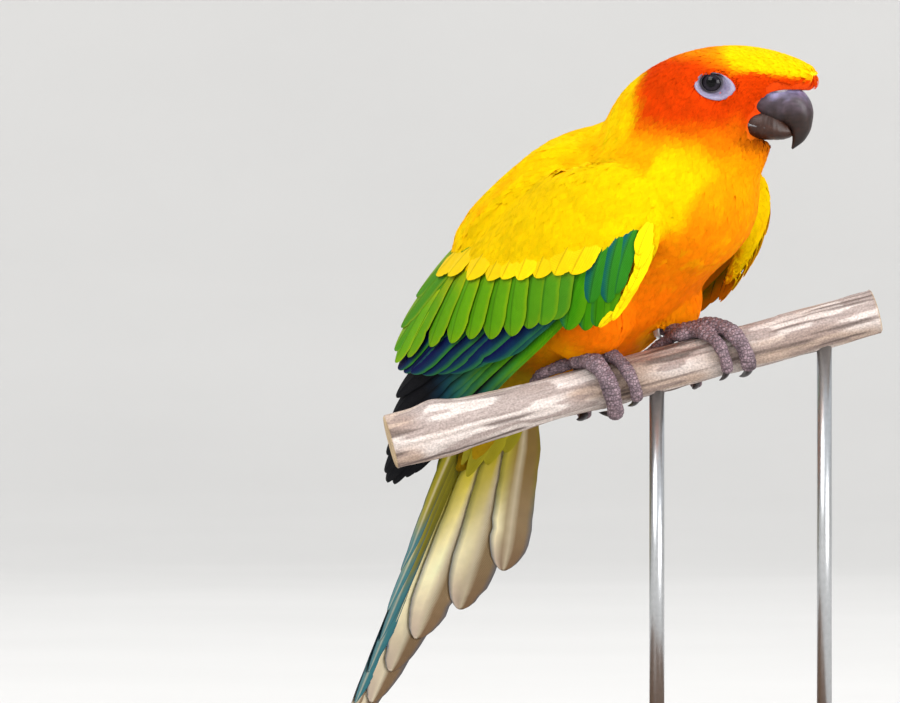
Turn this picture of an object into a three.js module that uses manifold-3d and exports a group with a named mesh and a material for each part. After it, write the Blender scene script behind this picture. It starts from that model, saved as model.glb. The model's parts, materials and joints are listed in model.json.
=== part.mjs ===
// A life-size display model of a sun conure that grips a cut branch, held over a flat base by two rods.
// Millimetres, +Z up. The origin is the centre of the base's underside, and the viewer stands on the -Y side.
import * as THREE from 'three';
import { mergeVertices } from 'three/addons/utils/BufferGeometryUtils.js';
import Module from 'manifold-3d';

const wasm = await Module();
wasm.setup();
const { Manifold } = wasm;

// Driving sizes
const GAP = 0.3;
const BODY_YAW = 42; // degrees that the body turns from +X towards the viewer
const BODY_CENTRE = [3.3, 0, 178];
const HEAD_TURN = 27; // degrees that the head turns to its left, away from the viewer
const HEAD_CENTRE = [48.4, 2, 51.7]; // in the bird's frame
const PERCH_CENTRE = [11, -12, 137.3];
const PERCH_RISE = 15; // degrees
const PERCH_YAW = 5;
const PERCH_RADIUS = 7.7;
const PERCH_LEFT = 84;
const PERCH_RIGHT = 84;
const BASE = { length: 168, width: 124, thick: 12, edge: 1.2 };
const ROD_RADIUS = 2.5;
const ROD_PLACES = [8, 66];

const rad = THREE.MathUtils.degToRad;
const vec = (x, y, z) => new THREE.Vector3(x, y, z);
const mix = (a, b, t) => a + (b - a) * t;
const clamp01 = (t) => Math.min(1, Math.max(0, t));

// Frames: the bird's, the head's inside it, and the perch's. Each has x ahead, y left and z up.
const birdFrame = new THREE.Matrix4()
  .makeRotationZ(rad(-BODY_YAW))
  .setPosition(...BODY_CENTRE);
const headFrame = new THREE.Matrix4()
  .makeRotationZ(rad(HEAD_TURN))
  .setPosition(...HEAD_CENTRE);
const perchFrame = new THREE.Matrix4()
  .makeRotationFromEuler(new THREE.Euler(0, rad(-PERCH_RISE), rad(PERCH_YAW), 'ZYX'))
  .setPosition(...PERCH_CENTRE);
const perchFromBird = perchFrame.clone().invert().multiply(birdFrame);

// Solids from meshes, and back
function solidOf(geometry) {
  const bare = new THREE.BufferGeometry();
  bare.setAttribute('position', geometry.getAttribute('position'));
  bare.setIndex(geometry.getIndex());
  const merged = mergeVertices(bare, 1e-4);
  const corners = merged.attributes.position.array;
  const kept = [];
  for (let i = 0; i < merged.index.count; i += 3) {
    const [a, b, c] = [0, 1, 2].map((k) => merged.index.getX(i + k));
    if (a !== b && b !== c && c !== a) kept.push(a, b, c);
  }
  const made = () =>
    new Manifold(
      new wasm.Mesh({
        numProp: 3,
        vertProperties: new Float32Array(corners),
        triVerts: new Uint32Array(kept),
      }),
    );
  const first = made();
  if (first.volume() > 0) return first;
  for (let i = 0; i < kept.length; i += 3) [kept[i + 1], kept[i + 2]] = [kept[i + 2], kept[i + 1]];
  return made();
}

function geometryOf(solid) {
  const mesh = solid.getMesh();
  const points = new Float32Array(mesh.numVert * 3);
  for (let i = 0; i < mesh.numVert; i++) {
    points.set(mesh.vertProperties.subarray(i * mesh.numProp, i * mesh.numProp + 3), i * 3);
  }
  const geometry = new THREE.BufferGeometry();
  geometry.setAttribute('position', new THREE.BufferAttribute(points, 3));
  geometry.setIndex(new THREE.BufferAttribute(mesh.triVerts, 1));
  geometry.computeVertexNormals();
  return geometry;
}

const joined = (solids) => solids.reduce((all, one) => all.add(one));
const moved = (solid, frame) => solid.transform(frame.elements);

// Only the largest closed surface is kept, so a sealed hollow is filled and a loose scrap is dropped.
function largest(solid) {
  const pieces = solid.decompose();
  return pieces.reduce((best, one) => (one.volume() > best.volume() ? one : best));
}

// Rings of points joined into one closed skin. Where crossed(i) is true, that strip is split along its other diagonal.
function loft(rings, crossed = () => false) {
  const around = rings[0].length;
  const points = rings.flat();
  const faces = [];
  const at = (j, i) => j * around + (i % around);
  for (let j = 0; j < rings.length - 1; j++) {
    for (let i = 0; i < around; i++) {
      const [a, b, c, d] = [at(j, i), at(j, i + 1), at(j + 1, i + 1), at(j + 1, i)];
      faces.push(...(crossed(i) ? [a, b, d, b, c, d] : [a, b, c, a, c, d]));
    }
  }
  for (const [j, turn] of [[0, false], [rings.length - 1, true]]) {
    const middle = points.push(rings[j].reduce((s, p) => s.add(p), vec(0, 0, 0)).divideScalar(around)) - 1;
    for (let i = 0; i < around; i++) {
      faces.push(middle, ...(turn ? [at(j, i), at(j, i + 1)] : [at(j, i + 1), at(j, i)]));
    }
  }
  const geometry = new THREE.BufferGeometry().setFromPoints(points);
  geometry.setIndex(faces);
  return solidOf(geometry);
}

// A smooth run through numbers kept at even steps
function along(values, t) {
  const last = values.length - 1;
  const k = Math.min(last - 1, Math.floor(clamp01(t) * last));
  const f = clamp01(t) * last - k;
  const [a, b, c, d] = [-1, 0, 1, 2].map((o) => values[Math.min(last, Math.max(0, k + o))]);
  return b + 0.5 * f * (c - a + f * (2 * a - 5 * b + 4 * c - d + f * (3 * (b - c) + d - a)));
}

// Soft lumps, blended into one skin
const BLEND = 4;
function lump(at, half, pitch = 0, yaw = 0, frame = new THREE.Matrix4()) {
  const turn = new THREE.Matrix4().makeRotationFromEuler(new THREE.Euler(0, rad(-pitch), rad(yaw), 'ZYX'));
  const placed = frame.clone().multiply(turn.setPosition(...at));
  return { inverse: placed.invert(), half: vec(...half) };
}

function lumpDistance(point, { inverse, half }) {
  const p = point.clone().applyMatrix4(inverse);
  const near = p.clone().divide(half).length();
  const slope = p.divide(half).divide(half).length();
  return slope < 1e-9 ? -Math.min(half.x, half.y, half.z) : (near * (near - 1)) / slope;
}

function skinDistance(point, lumps) {
  const total = lumps.reduce((sum, one) => sum + Math.exp(-lumpDistance(point, one) / BLEND), 0);
  return -BLEND * Math.log(total);
}

// How far the skin lies from a point inside it, along a direction
function reach(from, direction, lumps, level) {
  const at = (r) => skinDistance(from.clone().addScaledVector(direction, r), lumps) - level;
  let far = 0.5;
  while (at(far) < 0 && far < 90) far += 1;
  let near = Math.max(0, far - 1);
  for (let i = 0; i < 14; i++) {
    const middle = (near + far) / 2;
    if (at(middle) < 0) near = middle;
    else far = middle;
  }
  return far;
}

// A plane across the body: its centre, and the directions up, left and ahead of it
function planeAt(stations, t) {
  const [a, b, c, pitch, yaw] = [0, 1, 2, 3, 4].map((k) => along(stations.map((s) => s[k]), t));
  const turn = new THREE.Matrix4().makeRotationFromEuler(new THREE.Euler(0, rad(-pitch), rad(yaw), 'ZYX'));
  const [ahead, left, up] = [vec(), vec(), vec()];
  turn.extractBasis(ahead, left, up);
  return { centre: vec(a, b, c), ahead, left, up };
}

function skinRing(lumps, plane, shift, level, around) {
  const centre = plane.centre.clone().addScaledVector(plane.ahead, shift);
  return Array.from({ length: around }, (_, i) => {
    const turn = (i / around) * 2 * Math.PI;
    const out = plane.left.clone().multiplyScalar(Math.cos(turn)).addScaledVector(plane.up, Math.sin(turn));
    return centre.clone().addScaledVector(out, reach(centre, out, lumps, level));
  });
}

// The skin through given places on its line. The first and last slices move along by the given shifts.
function skinSolid(lumps, stations, places, around, level = 0, shifts = [0, 0]) {
  const last = places.length - 1;
  const rows = places.map((t, j) => {
    const shift = j === 0 ? shifts[0] : j === last ? shifts[1] : 0;
    return skinRing(lumps, planeAt(stations, t), shift, level, around);
  });
  return loft(rows);
}
const steps = (from, to, count) => Array.from({ length: count + 1 }, (_, j) => mix(from, to, j / count));

// The body's lumps, in the bird's frame: middle, half sizes, pitch and yaw
const bodyLumps = [
  lump([-6, 0, -4], [54, 34, 31], 36),
  lump([31, 0, 19], [24, 28, 25], 30),
  lump([27.5, 0, 38.8], [20.5, 21, 22.6], 45),
  lump([-23, -3, 14.5], [38, 27, 17], 42),
  lump([-39, -3, 2.5], [23, 23, 17], 48),
  lump([-38, 0, -24], [24, 19, 14], 46),
  lump([-4.5, 0, 4], [22.5, 14.5, 12.2], 8, 0, headFrame),
  lump([18.8, 0, 7], [14.5, 10.5, 6.6], -7, 0, headFrame),
  lump([-5, 0, -6], [12, 14, 12], 0, 0, headFrame),
  lump([2, 0, -18], [12, 10.5, 7.5], -8, 0, headFrame),
];

// Where the body is sliced: a, b, c, pitch and yaw of each slice, from the tail's root to the forehead
const bodyLine = [
  [-50, 0, -38, 56, 0],
  [-36, 0, -25, 46, 0],
  [-20, 0, -11, 38, 0],
  [-2, 0, 2, 35, 0],
  [15, 0, 14, 36, 0],
  [29, 0, 25, 40, 0],
  [39, 0, 36, 43, 6],
  [45, 1, 45, 38, 14],
  [50.5, 4, 51.5, 28, 20],
  [58, 7.5, 55.5, 15, 25],
  [67.5, 11.8, 57.5, 4, 27],
  [76.6, 16.3, 57.6, -6, 27],
];
const NECK_FROM = 0.53;
const HEAD_FROM = 0.62;
const ROUND = 26;

// The body's own parts share their slices with the swollen body that cuts its neighbours clear
const SLICES = {
  torso: steps(0, NECK_FROM, 15),
  neck: steps(NECK_FROM, HEAD_FROM, 4),
  head: steps(HEAD_FROM, 1, 14),
};
const body = (places, level, shifts) => skinSolid(bodyLumps, bodyLine, places, ROUND, level, shifts);
const swollenTrunk = body([...SLICES.torso, ...SLICES.neck.slice(1)], GAP, [-GAP, GAP / 2]);
const swollenBody = body([...SLICES.torso, ...SLICES.neck.slice(1), ...SLICES.head.slice(1)], GAP, [-GAP, GAP]);

// A closed tube with a tapering round section: rows of {at, across, up, wide, high, low}
function tube(rows, around, power = 1) {
  const bend = (x) => Math.sign(x) * Math.abs(x) ** power;
  return loft(
    rows.map(({ at, across, up, wide, high, low = high }) =>
      Array.from({ length: around }, (_, i) => {
        const turn = (i / around) * 2 * Math.PI;
        const rise = bend(Math.sin(turn));
        return at
          .clone()
          .addScaledVector(across, wide * bend(Math.cos(turn)))
          .addScaledVector(up, rise * (rise > 0 ? high : low));
      }),
    ),
  );
}

// Bill, in the head's frame. Each row: x, z, slope in degrees, half width, reach up and reach down
const LEFT = vec(0, 1, 0);
function billSolid(rows, count, grow) {
  const made = steps(0, 1, count).map((t) => {
    const [x, z, slope, wide, high, low] = [0, 1, 2, 3, 4, 5].map((k) => along(rows.map((r) => r[k]), t));
    return {
      at: vec(t === 0 ? x - grow : x, 0, z),
      across: LEFT,
      up: vec(-Math.sin(rad(slope)), 0, Math.cos(rad(slope))),
      wide: wide + grow,
      high: high + grow,
      low: low + grow,
    };
  });
  return tube(made, 14, 0.9);
}
const CHIN = { x: 5.6, z: -17.9, half: [10.6, 8.8, 6], tilt: -10 };
const upperBillRows = [
  [9.5, -1, 0, 7.2, 4.4, 3.4],
  [15.2, -0.7, -2, 7.7, 4.9, 7.4],
  [20.8, -1, -20, 7.1, 5.3, 9],
  [25, -4.4, -50, 5.6, 5, 7.4],
  [26.4, -9.4, -86, 3.9, 3, 5.2],
  [25.2, -13.4, -116, 2.3, 2, 2.6],
  [22.8, -17, -132, 0.5, 0.45, 0.45],
];
const lowerBillRows = [
  [7.6, -9, 0, 6.4, 5.4, 4.6],
  [12.6, -10, -6, 6.9, 6.5, 4],
  [16.6, -10.6, -4, 6.5, 6, 3.5],
  [19.6, -11, 8, 4.9, 4.4, 2.8],
  [21.6, -10.9, 24, 2.5, 2, 1.5],
];
const CERE = { x: 19.2, y: 3.7, z: 2.4, half: [3.3, 2.5, 2.1] };
const NOSTRIL_RADIUS = 0.9;

function ball(at, half, detail = 12) {
  const geometry = new THREE.SphereGeometry(1, detail, Math.round(detail * 0.7));
  return solidOf(geometry.scale(...half).translate(...at));
}

function upperBill() {
  const sides = [-1, 1];
  const ceres = sides.map((s) => ball([CERE.x, s * CERE.y, CERE.z], CERE.half, 10));
  const nostrils = sides.map((s) =>
    ball([CERE.x + 0.4, s * (CERE.y + 1.6), CERE.z + 1.4], [NOSTRIL_RADIUS * 1.3, NOSTRIL_RADIUS, NOSTRIL_RADIUS], 6),
  );
  return joined([billSolid(upperBillRows, 9, 0), ...ceres]).subtract(joined(nostrils));
}
const lowerBill = () => billSolid(lowerBillRows, 5, 0).subtract(billSolid(upperBillRows, 9, GAP));

// Eyes, in the head's frame
const EYE = { x: -1.1, y: 12.6, z: 4.4, radius: 4.2 };
const LID = { long: 6.3, high: 4.5, tube: 1, forward: 1.5, drop: 1.1, tilt: -15, out: 2.7 };
const eyeBall = (side, grow = 0) => {
  const r = EYE.radius + grow;
  return ball([EYE.x, side * EYE.y, EYE.z], [r, r, r], 11);
};

// A rim of bare skin round each eye, longer towards the bill
function lidRim(side) {
  const geometry = new THREE.TorusGeometry(1, LID.tube / LID.high, 5, 14)
    .scale(LID.long, LID.high, LID.high)
    .rotateZ(rad(LID.tilt))
    .rotateX(rad(90))
    .translate(EYE.x + LID.forward, side * (EYE.y + LID.out), EYE.z - LID.drop);
  return solidOf(geometry);
}

function headSolid() {
  const sides = [-1, 1];
  const toBird = (solid) => moved(solid, headFrame);
  const skull = body(SLICES.head, 0, [GAP / 2, 0]);
  const rims = toBird(joined(sides.map(lidRim)));
  const chin = toBird(ball([0, 0, 0], CHIN.half, 12).rotate([0, CHIN.tilt, 0]).translate([CHIN.x, 0, CHIN.z]));
  const hollows = [
    billSolid(upperBillRows, 9, GAP),
    ...sides.map((s) => ball([CERE.x, s * CERE.y, CERE.z], CERE.half.map((h) => h + GAP), 10)),
    billSolid(lowerBillRows, 5, GAP),
    ...sides.map((s) => eyeBall(s, GAP)),
  ];
  return largest(joined([skull, chin.subtract(swollenTrunk), rims]).subtract(toBird(joined(hollows))));
}

// A feather: a thin curved vane. place(x, y, h) puts a point that lies x across and y along the vane, h above its sheet.
function vane({ place, length, width, thick = 0.6, rows = 5, tip = 0.3, taper = 0.55 }) {
  const halfWidth = (t) => {
    const base = mix(taper, 1, Math.min(1, t / 0.4));
    const end = t < 0.6 ? 1 : Math.sqrt(Math.max(0, 1 - ((t - 0.6) / 0.4) ** 2 * (1 - tip ** 2)));
    return (width / 2) * base * end;
  };
  const rings = Array.from({ length: rows + 1 }, (_, j) => {
    const t = 1 - (1 - j / rows) ** 1.5;
    const w = halfWidth(t);
    const h = (thick / 2) * mix(1, 0.7, t);
    return [[-w, h], [w, h], [w, -h], [-w, -h]].map(([x, y]) => place(x, t * length, y));
  });
  return loft(rings, (i) => i === 2);
}

// Wing sheet for the bird's right wing: p runs from the wrist to the wing tip, q from the lower edge to the back
const WING = {
  wrist: [46, 13],
  slope: 35,
  side: 40.5,
  midQ: 12,
  roundQ: 30,
  flatFrom: 42,
  foldFrom: 60,
  tipRound: 192,
};
const WING_SIDES = {
  right: { sign: -1, lift: 0, out: 0, frontRound: 66, roll: 1 },
  left: { sign: 1, lift: 8, out: 0.4, frontRound: 96, roll: 1.25 },
};

function wingPoint(p, q, side) {
  const slope = rad(WING.slope);
  const front = Math.max(0, WING.flatFrom - p) ** 2 / (2 * side.frontRound);
  const back = Math.max(0, p - WING.foldFrom) ** 2 / (2 * WING.tipRound);
  const drop = (q - WING.midQ) ** 2 / (2 * WING.roundQ) + front + back;
  return vec(
    WING.wrist[0] - p * Math.cos(slope) - q * Math.sin(slope),
    side.sign * (WING.side + side.out - drop),
    WING.wrist[1] + side.lift - p * Math.sin(slope) + q * Math.cos(slope),
  );
}

function onWing(p, q, h, side) {
  const at = wingPoint(p, q, side);
  const alongP = wingPoint(p + 0.5, q, side).sub(at);
  const alongQ = wingPoint(p, q + 0.5, side).sub(at);
  const out = alongP.cross(alongQ).normalize();
  if (out.y * side.sign < 0) out.negate();
  return at.addScaledVector(out, h);
}

// A feather from its root to its tip on the wing sheet. lean lifts its lower edge over the next feather.
function wingFeather(side, { root, tip, width, rise, lean, rows, sag = 0, end }) {
  const [dp, dq] = [tip[0] - root[0], tip[1] - root[1]];
  const length = Math.hypot(dp, dq);
  const [cp, cq] = [dp / length, dq / length];
  const place = (x, y, h) => {
    const t = y / length;
    const bow = sag * 4 * t * (1 - t);
    const height = mix(rise[0], rise[1], Math.sqrt(t)) - x * lean + h;
    return onWing(root[0] + cp * y - cq * (x + bow), root[1] + cq * y + cp * (x + bow), height, side);
  };
  return vane({ place, length, width, rows, tip: end });
}

// A row of feathers whose roots and tips run evenly between given places
function featherRow(side, { count, roots, tips, width, ...shape }) {
  return Array.from({ length: count }, (_, i) => {
    const t = count > 1 ? i / (count - 1) : 0;
    const place = (list) => [0, 1].map((k) => along(list.map((s) => s[k]), t));
    return wingFeather(side, {
      root: place(roots),
      tip: place(tips),
      width: Array.isArray(width) ? along(width, t) : width,
      ...shape,
    });
  });
}

const WING_ROWS = {
  primaries: {
    count: 6,
    roots: [[22, -6], [26, -3], [31, 1], [36, 5]],
    tips: [[152, -1], [163, 4], [150, 12], [132, 19]],
    width: [11, 12, 12.5, 12.5],
    rise: [-1.6, -0.6],
    lean: 0.16,
    rows: 4,
    end: 0.3,
  },
  secondaries: {
    count: 5,
    roots: [[36, -1], [47, 3], [62, 12], [72, 24]],
    tips: [[80, 0], [97, 6], [113, 15], [124, 25]],
    width: 13.5,
    rise: [-0.6, 1],
    lean: 0.13,
    rows: 3,
    end: 0.45,
  },
  tertials: {
    count: 2,
    roots: [[70, 38], [64, 44]],
    tips: [[122, 33], [112, 42]],
    width: 13,
    rise: [-0.4, 1.4],
    lean: 0.12,
    rows: 3,
    end: 0.4,
  },
  greaterCoverts: {
    count: 7,
    roots: [[30, 9], [44, 19], [63, 30], [84, 38]],
    tips: [[51, -5], [68, 0], [90, 12], [122, 25]],
    width: [11, 11, 12, 13],
    rise: [0.2, 2.6],
    lean: 0.12,
    rows: 3,
    end: 0.5,
  },
  primaryCoverts: {
    count: 3,
    roots: [[17, -1], [20, 1], [25, 3]],
    tips: [[39, -14], [45, -13], [50, -10]],
    width: 8.5,
    rise: [0.2, 2.2],
    lean: 0.12,
    rows: 2,
    end: 0.5,
  },
  alula: {
    count: 2,
    roots: [[10, 1], [14, 2]],
    tips: [[29, -11], [35, -11]],
    width: 6.5,
    rise: [0.4, 1.8],
    lean: 0.12,
    rows: 2,
    end: 0.4,
  },
  medianCoverts: {
    count: 5,
    roots: [[20, 7], [36, 18], [52, 28], [72, 44]],
    tips: [[33, -2], [49, 9], [66, 20], [88, 38]],
    width: [12, 14, 15, 16],
    rise: [1.2, 3.6],
    lean: 0.1,
    rows: 2,
    end: 0.6,
  },
};

// The shoulder pad that the wing's feathers grow from, rounded over the body
const WING_PAD = { p: 42.5, q: 20, halfP: 42.5, halfQ: 22.5, shear: 0.22, out: 2.4, deep: 12, power: 0.85 };
function wingPad(side) {
  const [rounds, spokes] = [3, 18];
  const face = (sign, deep) =>
    Array.from({ length: rounds + 1 }, (_, j) => {
      const r = sign > 0 ? j / rounds : 1 - j / rounds;
      return Array.from({ length: spokes }, (_, i) => {
        const turn = (i / spokes) * 2 * Math.PI;
        const bend = (x) => Math.sign(x) * Math.abs(x) ** WING_PAD.power;
        const p = WING_PAD.p + WING_PAD.halfP * r * bend(Math.cos(turn));
        const q = WING_PAD.q + WING_PAD.shear * (p - WING_PAD.p) + WING_PAD.halfQ * r * bend(Math.sin(turn));
        return onWing(p, q, deep * (1 - r ** 4), side);
      });
    });
  const rings = [...face(1, WING_PAD.out), ...face(-1, -WING_PAD.deep).slice(1)];
  return loft(rings);
}

// The leading edge: a roll of small feathers from the wrist down to the alula. Each stop: p, q, height and radius
const LEADING_EDGE = [
  [9.5, 12, -3.4, 3.4],
  [4.6, 4, -3, 3.5],
  [9, -4.5, -2.6, 3.4],
  [17.5, -9.5, -2, 2.8],
  [26, -12.5, -1.4, 2],
  [34, -14.5, -0.8, 0.5],
];
function leadingEdge(side) {
  const stop = (t) => [0, 1, 2, 3].map((k) => along(LEADING_EDGE.map((s) => s[k]), t));
  const at = (t, rise = 0) => {
    const [p, q, h] = stop(t);
    return onWing(p, q, h + rise, side);
  };
  const rows = steps(0, 1, 7).map((t) => {
    const ahead = at(Math.min(1, t + 0.02)).sub(at(Math.max(0, t - 0.02))).normalize();
    const across = ahead.clone().cross(at(t, 1).sub(at(t))).normalize();
    const r = stop(t)[3] * side.roll;
    return { at: at(t), across, up: across.clone().cross(ahead), wide: r, high: r };
  });
  return tube(rows, 8);
}

function wingSolid(side) {
  const feathers = Object.values(WING_ROWS).flatMap((row) => featherRow(side, row));
  return largest(joined([wingPad(side), leadingEdge(side), ...feathers]).subtract(swollenBody));
}

// Tail sheet: y runs from the root to the tip, x to the bird's left, and the sheet is folded like a low roof
const TAIL = {
  root: [-51, -40.5],
  slope: 61.8,
  roof: 0.48,
  ridge: 4,
  pairs: 6,
  lengths: [136, 125, 112, 98, 84, 67],
  widths: [13, 14, 14.5, 15, 15, 13.5],
  spread: {
    left: { roots: [1.6, 3, 4.8, 7.6, 11.6, 15.4], angles: [0.2, 0.5, 0.4, 0.8, 4.6, 9.5] },
    right: { roots: [1.6, 3, 4.6, 6.6, 8.8, 10], angles: [0.2, 0.5, 0.5, 1.6, 6.4, 12.8] },
  },
  layer: 1,
};

function onTail(x, y, h) {
  const slope = rad(TAIL.slope);
  const droop = TAIL.roof * (Math.hypot(x, TAIL.ridge) - TAIL.ridge) * Math.min(1, 0.35 + y / 90) - h;
  return vec(
    TAIL.root[0] - y * Math.cos(slope) + droop * Math.sin(slope),
    x,
    TAIL.root[1] - y * Math.sin(slope) - droop * Math.cos(slope),
  );
}

function tailFeather(side, { from, start = 0, angle, length, width, rise, lean = 0, ...shape }) {
  const turn = rad(angle);
  const place = (x, y, h) => {
    const t = y / length;
    return onTail(
      side * (from + y * Math.sin(turn) + x * Math.cos(turn)),
      start + y * Math.cos(turn) - x * Math.sin(turn),
      mix(rise[0], rise[1], Math.min(1, t * 3)) - x * lean + h,
    );
  };
  return vane({ place, length, width, taper: 0.45, ...shape });
}

// The torso's last slice, which the tail's root block starts from
const tailPlane = planeAt(bodyLine, 0);
function tailRoot() {
  const start = skinRing(bodyLumps, tailPlane, -GAP, 0, 20);
  const middle = tailPlane.centre.clone();
  const shape = (y, across, up) =>
    start.map((point) => {
      const offset = point.clone().sub(middle);
      const x = offset.dot(tailPlane.left);
      const h = offset.dot(tailPlane.up);
      return onTail(x * across, y, h * up);
    });
  return loft([start, shape(9, 0.92, 0.62), shape(20, 0.85, 0.3), shape(32, 0.7, 0.08)]);
}

function tailSolid() {
  const feathers = [];
  for (let i = 0; i < TAIL.pairs; i++) {
    for (const side of [-1, 1]) {
      const spread = TAIL.spread[side < 0 ? 'right' : 'left'];
      feathers.push(
        tailFeather(side, {
          from: spread.roots[i],
          start: 2,
          angle: spread.angles[i],
          length: TAIL.lengths[i],
          width: TAIL.widths[i],
          rise: [0.5 - i * 0.2, 2.4 - i * TAIL.layer],
          lean: 0.05,
          rows: 4,
          tip: 0.28,
        }),
      );
    }
  }
  const covert = (side, i, over) =>
    tailFeather(side, {
      from: i * 5,
      start: 3,
      angle: i * 6,
      length: (over ? 40 : 44) - i * 7,
      width: 12,
      rise: over ? [2, 4.6 - i * 0.5] : [-2, -4.8 + i * 0.2],
      rows: 2,
      tip: 0.5,
    });
  for (const over of [true, false]) {
    feathers.push(covert(1, 0, over), covert(1, 1, over), covert(-1, 1, over));
  }
  return largest(joined([tailRoot(), ...feathers]).subtract(swollenBody));
}

// Thighs, in the bird's frame: lumps that narrow towards the heel
const THIGHS = {
  right: {
    lumps: [lump([5, -17, -17], [19, 13, 15], -30), lump([-6, -14, -28], [12, 8.5, 8.5], 35)],
    line: [[8, -14, -12, -60, 0], [3, -15, -20, -75, 0], [-2, -14.5, -26, -115, 0], [-7, -14, -31.5, -125, 0]],
  },
  left: {
    lumps: [lump([10, 14, -12], [15.5, 12, 14], -30), lump([10, 12.5, -21], [10, 8.6, 9], 10)],
    line: [[12, 12, -8, -60, 0], [11.4, 12.6, -15, -75, 0], [10.6, 12.6, -19.5, -95, 0], [9.6, 12, -24, -105, 0]],
  },
};
const thigh = (name, level = 0) => skinSolid(THIGHS[name].lumps, THIGHS[name].line, steps(0, 1, 8), 18, level);

// The perch, along x in its own frame, with a worn, uneven round
function perchRadius(x, turn) {
  const swell = 1.6 * clamp01((-x - 30) / 34) ** 2 - 0.4 * Math.exp(-(((x + 26) / 14) ** 2));
  const lumps = 0.16 * Math.sin(3 * turn + x * 0.11) + 0.12 * Math.sin(5 * turn - x * 0.23);
  const knot = 1.6 * Math.exp(-(((x + 68) / 5) ** 2)) * Math.max(0, Math.cos(turn - rad(70))) ** 3;
  return PERCH_RADIUS + swell + lumps + knot;
}

// A point round the perch: angle 0 faces the viewer, 90 is on top
const roundPerch = (x, angle, r) => vec(x, -r * Math.cos(rad(angle)), r * Math.sin(rad(angle)));

function perchSolid(grow = 0) {
  const around = 14;
  return loft(
    steps(-PERCH_LEFT - grow, PERCH_RIGHT + grow, 16).map((x) => {
      return Array.from({ length: around }, (_, i) => {
        const angle = (i / around) * 360;
        return roundPerch(x, angle, perchRadius(x, rad(angle)) + grow);
      });
    }),
  );
}
const swollenPerch = perchSolid(GAP);

// Toes and claws follow a line round the perch. Each stop: x, angle round the perch, and height of the toe's middle over it
function toePath(stops, t) {
  const [x, angle, height] = [0, 1, 2].map((k) => along(stops.map((s) => s[k]), t));
  return roundPerch(x, angle, PERCH_RADIUS + height);
}

function toeTube(stops, from, to, count, around, radiusAt) {
  const rows = steps(from, to, count).map((t) => {
    const at = toePath(stops, t);
    const ahead = toePath(stops, t + 0.01).sub(toePath(stops, t - 0.01)).normalize();
    const outward = vec(0, at.y, at.z).normalize();
    const across = outward.clone().cross(ahead).normalize();
    const up = ahead.clone().cross(across);
    const r = radiusAt(t);
    return { at, across, up, wide: r, high: r * 0.95 };
  });
  return tube(rows, around);
}

const CLAW_FROM = 0.76;
const FEET = {
  right: {
    palm: [-14, 88, 2.4],
    palmHalf: [6, 4.4, 3.2],
    heel: [-9.7, -12.6, -31.5],
    tarsus: 2.5,
    toes: [
      { radius: 3.2, stops: [[-15, 94, 2.5], [-13, 60, 2.8], [-10, 15, 2.8], [-9.4, -35, 2.6], [-9.8, -78, 2.2], [-14, -108, 1.1]] },
      { radius: 2.4, stops: [[-13, 92, 2.5], [-7, 68, 2.5], [-3.4, 30, 2.4], [-1.6, -10, 2.2], [-1.8, -48, 2], [-4.6, -84, 1]] },
      { radius: 2.2, stops: [[-15, 94, 2.5], [-21, 102, 2.2], [-27, 112, 2.1], [-31, 132, 2], [-33, 162, 1.9], [-33, 195, 1]] },
      { radius: 2.8, stops: [[-14, 96, 2.5], [-15, 130, 2.6], [-16, 165, 2.6], [-17, 200, 2.4], [-19, 235, 2.2], [-22, 262, 1.1]] },
    ],
  },
  left: {
    palm: [20, 88, 2.2],
    palmHalf: [4.9, 4, 2.8],
    heel: [9.9, 10.2, -23.5],
    tarsus: 2.3,
    toes: [
      { radius: 3, stops: [[19.2, 92, 2.3], [26.6, 80, 2.5], [33, 48, 2.6], [36.6, 5, 2.4], [37, -45, 2.1], [34, -88, 1.1]] },
      { radius: 2.3, stops: [[20.2, 88, 2.3], [24.8, 62, 2.3], [28.6, 28, 2.2], [30, -5, 2], [29.6, -40, 1.8], [27, -76, 0.9]] },
      {
        radius: 2,
        stops: [[18.6, 94, 2.2], [12.4, 120, 1.4], [8.4, 138, 1.5], [5, 154, 1.8], [2, 176, 1.7], [0, 202, 1]],
      },
      { radius: 2.4, stops: [[20, 94, 2.2], [21, 130, 2.4], [21, 165, 2.4], [21, 200, 2.2], [20, 235, 2], [18, 262, 1]] },
    ],
  },
};

function footSolid(name) {
  const { palm, palmHalf, heel, tarsus, toes } = FEET[name];
  const palmAt = roundPerch(palm[0], palm[1], PERCH_RADIUS + palm[2]);
  const heelAt = vec(...heel).applyMatrix4(perchFromBird);
  const ahead = heelAt.clone().sub(palmAt).normalize();
  const across = ahead.clone().cross(vec(0, 0, 1)).normalize();
  const up = across.clone().cross(ahead);
  const shin = tube(
    [0, 0.5, 1.12].map((t) => ({
      at: palmAt.clone().lerp(heelAt, t),
      across,
      up,
      wide: tarsus * mix(1.1, 1, t),
      high: tarsus * mix(1.15, 1, t),
    })),
    10,
  );
  const digits = toes.map(({ radius, stops }) =>
    toeTube(stops, 0.02, CLAW_FROM, 7, 7, (t) => radius * (1 - 0.3 * t) * (1 + 0.07 * Math.cos(t * 26))),
  );
  const whole = joined([ball(palmAt.toArray(), palmHalf, 10), shin, ...digits]);
  const flesh = moved(thigh(name, GAP).add(swollenBody), perchFromBird);
  return largest(whole.subtract(swollenPerch).subtract(flesh));
}

function clawSolid({ radius, stops }) {
  const size = radius * 0.62;
  const claw = toeTube(stops, CLAW_FROM + 0.02, 0.99, 4, 6, (t) => {
    const f = (t - CLAW_FROM) / (1 - CLAW_FROM);
    return mix(size, 0.3, f ** 1.3);
  });
  return largest(claw.subtract(swollenPerch));
}

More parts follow.
